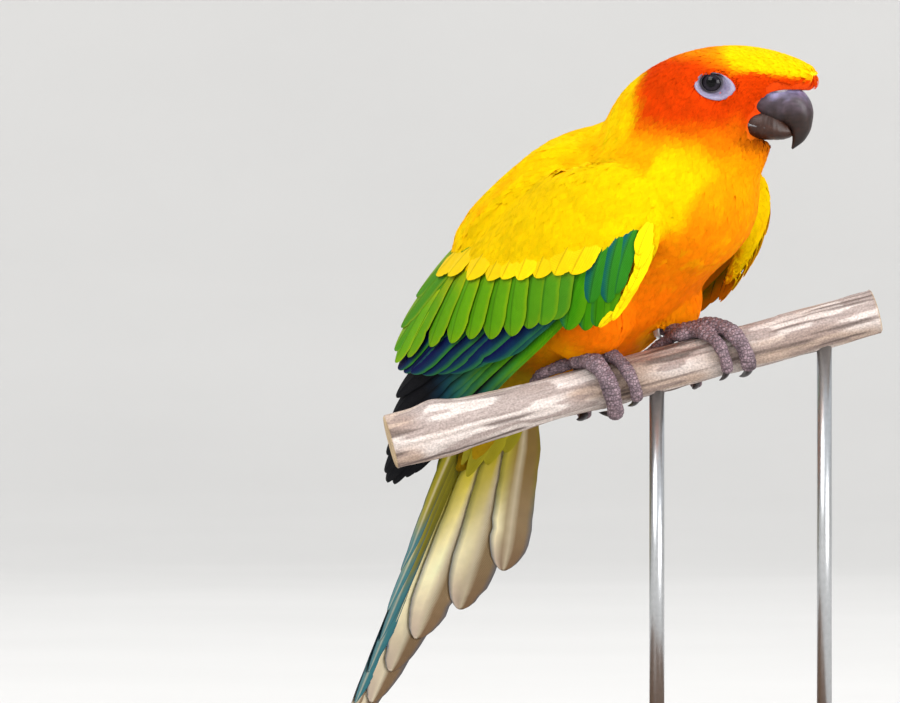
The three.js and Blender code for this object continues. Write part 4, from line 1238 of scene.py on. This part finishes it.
# %% [markdown]
# ## Finishes for the hard parts
# Bill, eyes, feet, claws, ring, wood and metal share one recipe: a painted colour on each vertex, a noise
# that changes tone, and a fine bump. For scaly skin, cells with raised middles are added to the noise.
# Roughness, clear coat and metal are set for each of them on the shader itself.


# %% Painted finish
def painted(name, roughness, scale=900.0, depth=0.3, reach=0.0001, blotch=0.2, cells=None, **shader):
    add, finish = new_material(name)
    where, height = noise_on(add, scale, 5.0)
    low, high = 0.3, 0.7
    if cells:
        sockets = {"Vector": where, "Scale": cells, "Randomness": 0.8}
        cell = add("ShaderNodeTexVoronoi", sockets, feature="DISTANCE_TO_EDGE")
        to_height = {"Value": cell.outputs["Distance"], 1: 0.0, 2: 0.16, 3: 0.0, 4: 0.7}
        raised = add("ShaderNodeMapRange", to_height)
        both = add("ShaderNodeMath", {0: height, 1: 0.4, 2: raised.outputs[0]}, operation="MULTIPLY_ADD")
        height = both.outputs[0]
        low, high = 0.1, 1.0
    inputs = toned(add, height, (low, high, 1 - blotch, 1 + blotch), depth, reach)
    return finish(add("ShaderNodeBsdfPrincipled", inputs | {"Roughness": roughness} | shader))


def paint_piece(piece, colour_of):
    co, _ = mesh_arrays(piece.data)
    add_colours(piece.data, np.clip(colour_of(co), 0, 1))
    return piece


def plain(code):
    return lambda points: points * 0 + paint(code)


horn_look = {"Specular IOR Level": 0.35}
horn = painted("grey_black_horn", 0.45, scale=420.0, depth=0.35, reach=0.0003, blotch=0.28, **horn_look)
print("finish", horn.name)

# %% [markdown]
# ## The bill
# The upper bill is a broad hook that curves down over a short, stout lower bill, and the two are shut.
# Both are drawn as rows of sections along a curve: place ahead and up, slope, half width, height above
# and below. The horn is near black, with a painted bluish highlight along its top. Pale bare skin, the
# cere, swells over each nostril where bill and forehead meet.

# %% Bill
UPPER_BILL = [
    [8.5, -1, 0, 6.8, 4.2, 3.4],
    [15.2, -0.7, -2, 7.7, 4.9, 7.4],
    [20.8, -1, -20, 7.1, 5.3, 9],
    [25, -4.4, -50, 5.6, 5, 7.4],
    [26.4, -9.4, -86, 3.9, 3, 5.2],
    [25.2, -13.4, -116, 2.3, 2, 2.6],
    [22.8, -17.1, -132, 0.35, 0.3, 0.3],
]
LOWER_BILL = [
    [6.6, -9, 0, 6.0, 5.4, 4.6],
    [12.6, -10, -6, 6.9, 7.2, 4.1],
    [16.6, -10.6, -4, 6.5, 7, 3.6],
    [19.8, -11, 8, 5.0, 5.4, 3.0],
    [22.6, -11, 24, 2.8, 3.2, 1.9],
]
CERE = dict(at=(19.4, 4.7, 2.5), half=(3.3, 2.6, 2.1))


def bill_rings(rows, stations, around):
    turn = np.linspace(0, 2 * np.pi, around, endpoint=False)
    wide_bend = np.sign(np.cos(turn)) * np.abs(np.cos(turn)) ** 0.9
    rise = np.sign(np.sin(turn)) * np.abs(np.sin(turn)) ** 0.9
    rings = []
    for t in np.linspace(0, 1, stations):
        x, z, slope, wide, high, low = along(rows, t)
        up = np.array([-math.sin(math.radians(slope)), 0, math.cos(math.radians(slope))])
        grown = 1 + 0.05 * 0.25 * math.sin(t * 46) * soft_step(t, 0.1, 0.3)
        ring = np.array([x, 0, z]) + up * (rise * np.where(rise > 0, high, low) * grown)[:, None]
        ring[:, 1] += wide * wide_bend * grown
        rings.append(moved(ring, head_frame))
    return rings


def horn_colour(points):
    x, y, z = back(points, head_frame).T
    patch_ = mottle(points, 2.2, 31)
    c = mixed(paint("281713"), paint("4A3E48"), soft_step(z + 2.5 * patch_, -7, 0.5))
    # painted highlight: a pale bluish sheen along the top of the upper bill
    c = mixed(c, paint("A6A4D2"), soft_step(z + 2.5 * patch_, -0.5, 4) * 0.85)
    c = mixed(c, paint("1C110E"), soft_step(-z, 9, 15))
    streak = mottle(np.stack([x * 0.25, y, z * 2.2], -1), 0.9, 3)
    return c * (0.42 + 0.75 * streak)[:, None]


upper_bill = paint_piece(tube("upper_bill", bill_rings(UPPER_BILL, 44, 48)), horn_colour)
settle(upper_bill, horn, "bill", ("bill_upper",))
lower_bill = tube("lower_bill", bill_rings(LOWER_BILL, 26, 40))
paint_piece(lower_bill, lambda p: horn_colour(p) * 0.15 + paint("34180A") * 0.7)
settle(lower_bill, horn, "bill")


# %% [markdown]
# ## The cere
# The bare swelling over each nostril starts as a ball. Its corners are pushed in where the nostril is, and the
# hole is painted dark as shade, which is enough for an opening of a millimetre.

# %% Cere
def cere_place(sign):
    def place(p):
        hole = math.exp(-(((p[0] - 0.1) / 0.3) ** 2 + ((p[2] - 0.55) / 0.3) ** 2)) if p[1] * sign > 0 else 0
        p = p * (1 - 0.35 * hole) * np.array(CERE["half"]) * np.array([1.05, 1.1, 1.1])
        return moved(p + np.array(CERE["at"]) * np.array([1, sign, 1]), head_frame)

    return place


bm = bmesh.new()
for sign in (-1, 1):
    ball(bm, 32, 20, cere_place(sign))
cere = from_bmesh("cere", bm)


def cere_colour(points):
    x, _, z = back(points, head_frame).T
    hole = ((x - 19.6) / 1.0) ** 2 + ((z - 3.9) / 0.8) ** 2
    c = mixed(paint("A79FA6"), paint("6E6268"), mottle(points, 0.8, 9))
    # painted shade: the nostril opening is dark
    return mixed(paint("17100F"), c, soft_step(hole, 0.4, 1.3))


paint_piece(cere, cere_colour)
cere_skin = painted("pale_cere", 0.55, scale=1500.0, depth=0.4, blotch=0.2, **{"Subsurface Weight": 0.1})
settle(cere, cere_skin, "bill")

# %% [markdown]
# ## Eyes and lids
# The eyeball is a dark, wet globe set well into the head: brown-black iris, black pupil and a clear coat
# that takes a sharp highlight. A ring of bare, whitish skin surrounds it, longer towards the bill, with
# fine wrinkles that run round the opening. It rises from the skin to the lid's rim and turns under, so it
# is closed.

# %% Eyes
LID_SHIFT, LID_INNER, LID_OUTER = (1.3, -1.25), (3.25, 2.75), (7.0, 4.45)
wet_look = {"Specular IOR Level": 0.08, "Coat Weight": 0.12}
wet = painted("wet_eye", 0.1, scale=2600.0, depth=0.0, blotch=0.15, **wet_look)
bare_skin = painted("bare_eye_skin", 0.5, scale=2200.0, depth=0.5, blotch=0.1, **{"Subsurface Weight": 0.15})


def eye_colour(sign):
    def colour(points):
        p = back(points, head_frame) - np.array([EYE["x"], sign * EYE["y"], EYE["z"]])
        r = np.hypot(p[:, 0] - 0.25, p[:, 2] - 0.1)
        iris = mixed(paint("0E0B0F"), paint("262029"), mottle(p, 0.5, 4))
        c = mixed(paint("020203"), iris, soft_step(r, 1.5, 1.75))
        return mixed(c, paint("0B090B"), soft_step(r, 2.5, 3.1))

    return colour


print("globe radius in mm", EYE["radius"])


# %% [markdown]
# ## Lids
# The ring of skin is drawn as ellipses that grow from the opening outwards. A ray from the side finds the head
# under each point, so that the ring lies on it, while its inner rim stands out over the globe.

# %% Lids and globes
def lid_height(x, z, globe, v, sign):
    """How far to the side a point of the lid lies: over the globe at its rim, and near the skin outside."""
    start = moved(np.array([x, sign * 30.0, z]), head_frame)
    hit = skin_tree.ray_cast(Vector(start), Vector(head_frame[:3, 1] * -sign))[0]
    on_head = abs(back(np.array(hit), head_frame)[1]) if hit else None
    out = on_head + 0.85 - 0.65 * soft_step(v, 0.8, 1) if hit else globe
    blend = soft_step(v, 0.0, 0.95)
    y = (EYE["y"] + 2.9) * (1 - blend) + out * blend
    return max(y, on_head + 0.5) if hit and v > 0.02 else y


def lid_rings(sign):
    turn = np.linspace(0, 2 * np.pi, 72, endpoint=False)
    rings = []
    for v, under in [(v, 0) for v in np.linspace(0, 1, 13)] + [(v, 1) for v in (1.0, 0.6, 0.25, 0.0)]:
        half = np.array(LID_INNER) * (1 - v) + np.array(LID_OUTER) * v
        u, w = half[0] * np.cos(turn), half[1] * np.sin(turn)
        x = EYE["x"] + LID_SHIFT[0] * v + u * math.cos(LID_TILT) - w * math.sin(LID_TILT)
        z = EYE["z"] + LID_SHIFT[1] * v + u * math.sin(LID_TILT) + w * math.cos(LID_TILT)
        globe = EYE["y"] + np.sqrt(np.clip(4.34**2 - (x - EYE["x"]) ** 2 - (z - EYE["z"]) ** 2, 1.0, None))
        crease = 0.11 * math.sin(v * 30) * math.sin(v * math.pi) + 0.3 * math.exp(-((v - 0.06) / 0.07) ** 2)
        y = np.array([lid_height(*place, v, sign) for place in zip(x, z, globe)])
        rings.append(moved(np.stack([x, sign * (y + crease - 0.9 * under), z], -1), head_frame))
    return rings


def lid_colour(points):
    x, _, z = back(points, head_frame).T
    x, z = x - EYE["x"], z - EYE["z"]
    r = np.hypot(x / 3.3, z / 2.8)
    down_ring = (z - LID_SHIFT[1] + 0.27 * (x - LID_SHIFT[0])) / LID_OUTER[1]
    rim = np.hypot((x - LID_SHIFT[0]) / LID_OUTER[0], down_ring)
    blotch = 0.25 * (mottle(points, 0.6, 6) - 0.5)
    c = mixed(paint("6F627C"), paint("8B8098"), soft_step(rim + blotch, 0.55, 0.85))
    return mixed(paint("241D26"), c, soft_step(r, 1.08, 1.45))


for title, sign in (("right", -1), ("left", 1)):
    centre = np.array([EYE["x"], sign * EYE["y"], EYE["z"]])
    bm = bmesh.new()
    in_socket = lambda p: moved(np.array([p[0], p[2] * sign, p[1]]) + centre, head_frame)
    ball(bm, 64, 48, in_socket, EYE["radius"])
    eyeball = paint_piece(from_bmesh(f"eyeball_{title}", bm), eye_colour(sign))
    settle(eyeball, wet, "eye", (f"eye_{title}",))
    lid = paint_piece(tube(f"eyelid_ring_{title}", lid_rings(sign), looped=True), lid_colour)
    settle(lid, bare_skin, "eye")

# %% [markdown]
# ## Scaly feet
# A parrot's foot has two toes ahead and two behind, which is why it grips so well. Each toe follows a few
# stops round the perch: place along it, angle round it and height over it. Its tube steps in and out
# along the back, which gives the broad scutes, and palm, shank and toes are melted together. The claws
# are separate, harder and darker.

# %% Feet and claws
FEET = {
    "right": dict(
        palm=(-14, 88, 2.4),
        palm_half=(6, 4.4, 3.2),
        heel=(-9.7, -12.6, -31.5),
        shank=2.5,
        toes=[
            (3.2, [[-15, 94, 2.5], [-13, 60, 2.8], [-10, 15, 2.8],
                [-9.4, -35, 2.6], [-9.8, -78, 2.2], [-14, -108, 1.1]]),
            (2.4, [[-13, 92, 2.5], [-7, 68, 2.5], [-3.4, 30, 2.4],
                [-1.6, -10, 2.2], [-1.8, -48, 2], [-4.6, -84, 1]]),
            (2.2, [[-15, 94, 2.5], [-21, 102, 2.2], [-27, 112, 2.1],
                [-31, 132, 2], [-33, 162, 1.9], [-33, 195, 1]]),
            (2.8, [[-14, 96, 2.5], [-15, 130, 2.6], [-16, 165, 2.6],
                [-17, 200, 2.4], [-19, 235, 2.2], [-22, 262, 1.1]]),
        ],
    ),
    "left": dict(
        palm=(20, 88, 2.2),
        palm_half=(4.9, 4, 2.8),
        heel=(9.9, 10.2, -23.5),
        shank=2.3,
        toes=[
            (3, [[19.2, 92, 2.3], [26.6, 80, 2.5], [33, 48, 2.6],
                [36.6, 5, 2.4], [37, -45, 2.1], [34, -88, 1.1]]),
            (2.3, [[20.2, 88, 2.3], [24.8, 62, 2.3], [28.6, 28, 2.2],
                [30, -5, 2], [29.6, -40, 1.8], [27, -76, 0.9]]),
            (2, [[18.6, 94, 2.2], [12.4, 120, 1.4], [8.4, 138, 1.5],
                [5, 154, 1.8], [2, 176, 1.7], [0, 202, 1]]),
            (2.4, [[20, 94, 2.2], [21, 130, 2.4], [21, 165, 2.4],
                [21, 200, 2.2], [20, 235, 2], [18, 262, 1]]),
        ],
    ),
}
PERCH_RADIUS = 7.7
CLAW_FROM = 0.76
print("toes", sum(len(foot["toes"]) for foot in FEET.values()))


# %% [markdown]
# ## Toes round the perch
# A place on a toe is told by how far along the perch it lies, the angle round it, and the height over it. The
# rings of a tube stand square to the toe's way, and their upper half grows and drops back at each scute.

# %% Toes
def round_perch(x, angle, r):
    a = np.radians(angle)
    return np.stack(np.broadcast_arrays(x, -r * np.cos(a), r * np.sin(a)), -1)


def toe_path(stops, t):
    x, angle, high = along(stops, t)
    return round_perch(x, angle, PERCH_RADIUS + high)


def toe_rings(stops, start, end, count, around, radius_at, scutes=0.0):
    turn = np.linspace(0, 2 * np.pi, around, endpoint=False)
    rings, gone, last = [], 0.0, None
    for t in np.linspace(start, end, count):
        at = toe_path(stops, t)
        gone += 0 if last is None else np.linalg.norm(at - last)
        last = at
        ahead = unit(toe_path(stops, t + 0.01) - toe_path(stops, t - 0.01))
        across = unit(np.cross(np.array([0, at[1], at[2]]), ahead))
        up = np.cross(ahead, across)
        step = ((gone / 1.7) % 1) ** 0.7 * scutes
        r = radius_at(t) * (1 + step * np.clip(np.sin(turn) + 0.35, 0, 1))
        r = r * (1 + 0.05 * np.clip(-np.sin(turn), 0, 1) * np.sin(gone * 1.9))
        ring = at + across * (r * np.cos(turn))[:, None] + up * (r * 0.95 * np.sin(turn))[:, None]
        rings.append(moved(ring, perch_frame))
    return rings


def foot_colour(points):
    at = back(points, perch_frame)
    band = np.abs(np.sin(np.arctan2(at[:, 2], at[:, 1]) * 19 + 3 * mottle(points, 5.0, 9)))
    c = mixed(paint("64525A"), paint("8A757B"), mottle(points, 1.3, 8))
    c = mixed(c, paint("4A3B42"), soft_step(mottle(points, 4.0, 12), 0.55, 0.9) * 0.7)
    return mixed(c, paint("33262C"), (1 - soft_step(band, 0.08, 0.4)) * 0.6)


foot_skin = painted("scaly_foot_skin", 0.62, scale=1800.0, depth=1.0, reach=0.0004, blotch=0.45, cells=950.0)
claw_horn = painted("claw_horn", 0.35, scale=700.0, depth=0.3, blotch=0.3)
print("finishes", foot_skin.name, claw_horn.name)


# %% [markdown]
# ## Shanks, feet and claws
# The shank is a tube from the palm to the heel and a little further, into the thigh's feathers. Palm, shank and
# toes overlap, so a fine voxel remesh makes them one skin. Claws take the last quarter of each toe's line.

# %% Feet
def shank_line(foot):
    """Palm and heel in the perch's frame, and the three ways along and across the shank between them."""
    palm = round_perch(foot["palm"][0], foot["palm"][1], PERCH_RADIUS + foot["palm"][2])
    heel = back(moved(np.array(foot["heel"], float), bird_frame), perch_frame)
    ahead = unit(heel - palm)
    across = unit(np.cross(ahead, np.array([0, 0, 1.0])))
    return palm, heel, ahead, across, np.cross(across, ahead)


def shank_rings(foot):
    palm, heel, _, across, up = shank_line(foot)
    turn = np.linspace(0, 2 * np.pi, 28, endpoint=False)
    for t in np.linspace(0, 1.3, 34):
        step = 1 + 0.07 * ((t * np.linalg.norm(heel - palm) / 1.9) % 1)
        r = foot["shank"] * (1.1 - 0.1 * t) * step
        middle = palm + (heel - palm) * t
        ring = middle + across * (r * np.cos(turn))[:, None] + up * (r * np.sin(turn))[:, None]
        yield moved(ring, perch_frame)


for title, foot in FEET.items():
    bm = bmesh.new()
    egg(bm, np.array(foot["palm_half"]), shank_line(foot)[0], perch_frame)
    sweep(bm, list(shank_rings(foot)))
    for radius, stops in foot["toes"]:
        size = lambda t: radius * (1 - 0.3 * t) * (1 + 0.06 * math.cos(t * 26))
        sweep(bm, toe_rings(stops, 0.02, CLAW_FROM + 0.02, 70, 24, size, 0.26))
    flesh = from_bmesh(f"foot_skin_{title}", bm)
    fuse(flesh, voxel_size=0.00038)
    paint_piece(flesh, foot_colour)
    settle(flesh, foot_skin, "foot_skin", (f"foot_{title}",))
    for i, (radius, stops) in enumerate(foot["toes"]):
        taper = lambda t: radius * 0.6 * max(0.04, 1 - ((t - CLAW_FROM) / (1 - CLAW_FROM)) ** 1.25)
        claw = tube(f"claw_horn_{title}_{i + 1}", toe_rings(stops, CLAW_FROM - 0.03, 1.0, 22, 20, taper))
        settle(paint_piece(claw, plain("241C1E")), claw_horn, "claw", (f"claw_{title}_{i + 1}",))

# %% [markdown]
# ## The leg ring
# A closed metal band sits loosely on the left shank. Its section is a small rounded oblong, which is swept
# round the shank's line and joined to itself.


# %% Leg ring
def band_rings():
    palm, heel, axis, side, front = shank_line(FEET["left"])
    middle = palm + (heel - palm) * 0.63 - np.array([0, 0, 0.1])
    half_outline = [(3.2, 1.3), (3.35, 1.5), (3.75, 1.5), (3.9, 1.3)]
    turn = np.linspace(0, 2 * np.pi, 80, endpoint=False)[:, None]
    for r, h in [(r, -h) for r, h in half_outline] + half_outline[::-1]:
        ring = middle + axis * h + side * r * np.cos(turn) + front * r * np.sin(turn)
        yield moved(ring, perch_frame)


band = paint_piece(tube("leg_band", list(band_rings()), looped=True), plain("D9DADC"))
band_metal = painted("pale_band_metal", 0.32, scale=900.0, depth=0.15, blotch=0.06, Metallic=0.55)
settle(band, band_metal, "ring", ("leg_ring",))


# %% [markdown]
# ## The branch
# The branch is bleached, dry wood: its bark has gone, long cracks run with the grain, and its cut ends show
# rings. The shape carries the larger swells and splits, and its own map, in millimetres along and around,
# carries the fine grain. Painted shade darkens the cracks and the dents where the wood has flaked.

# %% Branch
def wood_noise(x, loop, drawn_out, fine, seed):
    """Noise on the branch, long with the grain: x along it and loop round it."""
    x = np.broadcast_to(x, len(loop))
    return mottle(np.concatenate([x[:, None] / drawn_out, loop * fine], 1), 1.0, seed)


def branch_rings():
    turn = np.linspace(0, 2 * np.pi, 96, endpoint=False)
    loop = np.stack([np.cos(turn), np.sin(turn)], -1)
    ends = [(-84.0, k) for k in (0.02, 0.35, 0.7, 0.93)] + [(-83.6, 0.985)]
    spots = ends + [(x, 1.0) for x in np.linspace(-83.0, 83.0, 230)] + [(-x, k) for x, k in ends[::-1]]
    for x, inner in spots:
        swell = 1.6 * np.clip((-x - 30) / 34, 0, 1) ** 2 - 0.4 * math.exp(-(((x + 26) / 14) ** 2))
        lumps = 0.16 * np.sin(3 * turn + x * 0.11) + 0.12 * np.sin(5 * turn - x * 0.23)
        knot = 1.6 * math.exp(-(((x + 68) / 5) ** 2)) * np.clip(np.cos(turn - math.radians(70)), 0, 1) ** 3
        split = wood_noise(x, loop, 20.0, 7.0, 41)
        flake = wood_noise(x, loop, 11.0, 4.0, 43)
        crack = -0.5 * soft_step(split, 0.68, 0.84) - 0.25 * soft_step(flake, 0.5, 0.6) - 0.25 * split
        r = (PERCH_RADIUS - 0.05 + swell + lumps + knot + crack * (inner >= 1)) * inner
        yield round_perch(x, np.degrees(turn), r)


def wood_colour(local):
    x, r = local[:, 0], np.hypot(local[:, 1], local[:, 2])
    loop = local[:, 1:] / np.maximum(r, 0.1)[:, None]
    split = wood_noise(x, loop, 20.0, 7.0, 41)
    flake = wood_noise(x, loop, 11.0, 4.0, 43)
    stain = wood_noise(x, loop, 16.0, 1.4, 47)
    c = mixed(paint("C9BBB4"), paint("E9DED8"), flake)
    c = mixed(c, paint("A98C76"), soft_step(stain, 0.45, 0.75) * 0.75)
    # painted shade: darker in the carved cracks and in the dents where the wood has flaked
    c = mixed(c, paint("8B7770"), soft_step(flake, 0.5, 0.6) * 0.7)
    c = mixed(c, paint("5A4A44"), soft_step(split, 0.6, 0.8) * 0.85)
    cut = soft_step(np.abs(x), 83.5, 83.9) * (r < 9)
    rings = 0.5 + 0.5 * np.sin(r * 5.5)
    return mixed(c, mixed(paint("C9AE86"), paint("A98B62"), rings), cut)


def wood_finish():
    add, finish = new_material("bleached_wood")
    grain = add("ShaderNodeUVMap", uv_map="Grain").outputs["UV"]
    long = add("ShaderNodeMapping", {"Vector": grain, "Scale": (0.3, 4.5, 1.0)}).outputs[0]
    fibre = add("ShaderNodeTexNoise", {"Vector": long, "Scale": 1.0, "Detail": 6.0, "Roughness": 0.65})
    speck = add("ShaderNodeTexNoise", {"Vector": grain, "Scale": 1.3, "Detail": 5.0})
    height = add("ShaderNodeMath", {0: fibre.outputs["Fac"], 1: speck.outputs["Fac"]}, operation="MULTIPLY")
    inputs = toned(add, height.outputs[0], (0.12, 0.36, 0.55, 1.12), 0.9, 0.0006)
    return finish(add("ShaderNodeBsdfPrincipled", inputs | {"Roughness": 0.82}))


branch = tube("branch", [moved(ring, perch_frame) for ring in branch_rings()])
co, _ = mesh_arrays(branch.data)
local = back(co, perch_frame)
add_colours(branch.data, wood_colour(local))
layer = branch.data.uv_layers.new(name="Grain")
corner = np.empty(len(branch.data.loops), np.int32)
branch.data.loops.foreach_get("vertex_index", corner)
turn = np.arctan2(local[:, 2], -local[:, 1])
spread = np.stack([local[:, 0], turn * 8.0], -1)[corner]
faces = branch.data.polygons
starts = np.repeat([f.loop_start for f in faces], [f.loop_total for f in faces])
spread[:, 1] += 16 * np.pi * (spread[starts, 1] - spread[:, 1] > 8 * np.pi)
spread[:, 1] -= 16 * np.pi * (spread[starts, 1] - spread[:, 1] < -8 * np.pi)
layer.data.foreach_set("uv", spread.astype(np.float32).ravel())
settle(branch, wood_finish(), "perch_wood", ("perch",))

# %% [markdown]
# ## The stand
# A heavy oval base keeps the model upright, and two thin steel rods carry the branch. Both are plain, so
# that they draw no attention from the bird. The oval is a circle drawn out, extruded and beveled.

# %% Stand
BASE_HALF, BASE_HIGH = (0.084, 0.062), 0.012
bm = bmesh.new()
oval = bmesh.ops.create_circle(bm, segments=160, radius=1, cap_ends=True)["verts"]
for v in oval:
    v.co = Vector((v.co.x * BASE_HALF[0], v.co.y * BASE_HALF[1], 0.0))
top = bmesh.ops.extrude_face_region(bm, geom=bm.faces[:])["geom"]
bmesh.ops.translate(bm, vec=(0, 0, BASE_HIGH), verts=[g for g in top if isinstance(g, bmesh.types.BMVert)])
rims = [e for e in bm.edges if abs(e.verts[0].co.z - e.verts[1].co.z) < 1e-6]
bmesh.ops.bevel(bm, geom=rims, offset=0.0012, affect="EDGES", segments=4, profile=0.5, material=-1)
base = from_bmesh("base_board", bm)


def base_colour(points):
    grain = mottle(points * np.array([0.12, 1.4, 0.4]), 3.0, 51)
    return mixed(paint("5A3E28"), paint("6E4F35"), grain)


paint_piece(base, base_colour)
base_wood = painted("dark_base_wood", 0.42, scale=240.0, depth=0.2, blotch=0.14, **{"Coat Weight": 0.3})
settle(base, base_wood, "base_wood", ("stand_base",))
steel = painted("brushed_steel", 0.3, scale=700.0, depth=0.1, blotch=0.06, Metallic=0.95)
ROD_RADIUS = 2.5 * MM
for i, x in enumerate((8.0, 66.0)):
    foot = moved(np.array([x, 0.0, 0.0]), perch_frame)
    high = foot[2] - 6.6 - 12.0
    bm = bmesh.new()
    ends = dict(radius1=ROD_RADIUS, radius2=ROD_RADIUS)
    rod = bmesh.ops.create_cone(bm, cap_ends=True, segments=48, depth=high * MM, **ends)
    bmesh.ops.translate(bm, verts=rod["verts"], vec=Vector((foot[0], foot[1], 12.0 + high / 2)) * MM)
    piece = paint_piece(from_bmesh(f"rod_{i + 1}", bm), plain("B4B6B8"))
    settle(piece, steel, "rod_steel", (f"stand_rod_{i + 1}",))

# %% [markdown]
# ## Studio
# The floor is a wide, pale dish that curves up far away, so that no edge shows from any side. A large
# soft light stands high at the left front, where the photo's light comes from, with a weaker one low at
# the right and one above and behind for the rims of the feathers. The camera stands far off with a long
# lens, as the photographer did.

# %% Floor, lights and camera
profile = [(60, 0), (3200, 0), (3800, 40), (4400, 220), (4900, 640), (5200, 1300), (5300, 2400)]
turn = np.linspace(0, 2 * np.pi, 128, endpoint=False)
dish = [np.stack([r * np.cos(turn), r * np.sin(turn), turn * 0 + z - 0.3], -1) for r, z in profile]
floor = paint_piece(tube("studio_floor", dish, far_end=False), plain("C9C7C4"))
matte = painted("matte_floor", 0.9, scale=3.0, depth=0.0, blotch=0.02)
floor.data.materials.append(matte)


def softbox(name, at, size, power):
    light = bpy.data.lights.new(name, "AREA")
    light.size, light.energy = size, power
    lamp = in_scene(name, light)
    lamp.location = at
    lamp.rotation_euler = (Vector((0, 0, 0.16)) - Vector(at)).to_track_quat("-Z", "Y").to_euler()


softbox("key_softbox", (-2.0, -3.0, 3.2), 2.6, 180)
softbox("fill_softbox", (3.0, -2.8, 0.9), 2.4, 200)
softbox("top_softbox", (0.4, 1.8, 3.4), 2.4, 45)
world = bpy.data.worlds.new("studio_air")
world.use_nodes = True
world.node_tree.nodes["Background"].inputs["Color"].default_value = (0.93, 0.96, 1.0, 1.0)
world.node_tree.nodes["Background"].inputs["Strength"].default_value = 0.92
bpy.context.scene.world = world
bpy.context.scene.view_settings.view_transform = "Standard"

camera_data = bpy.data.cameras.new("photo_camera")
camera_data.lens, camera_data.sensor_width = 360, 36
camera = in_scene("photo_camera", camera_data)
camera.location = (-0.05, -3.0, 0.14583)
camera.rotation_euler = (math.radians(90), 0, 0)
bpy.context.scene.camera = camera
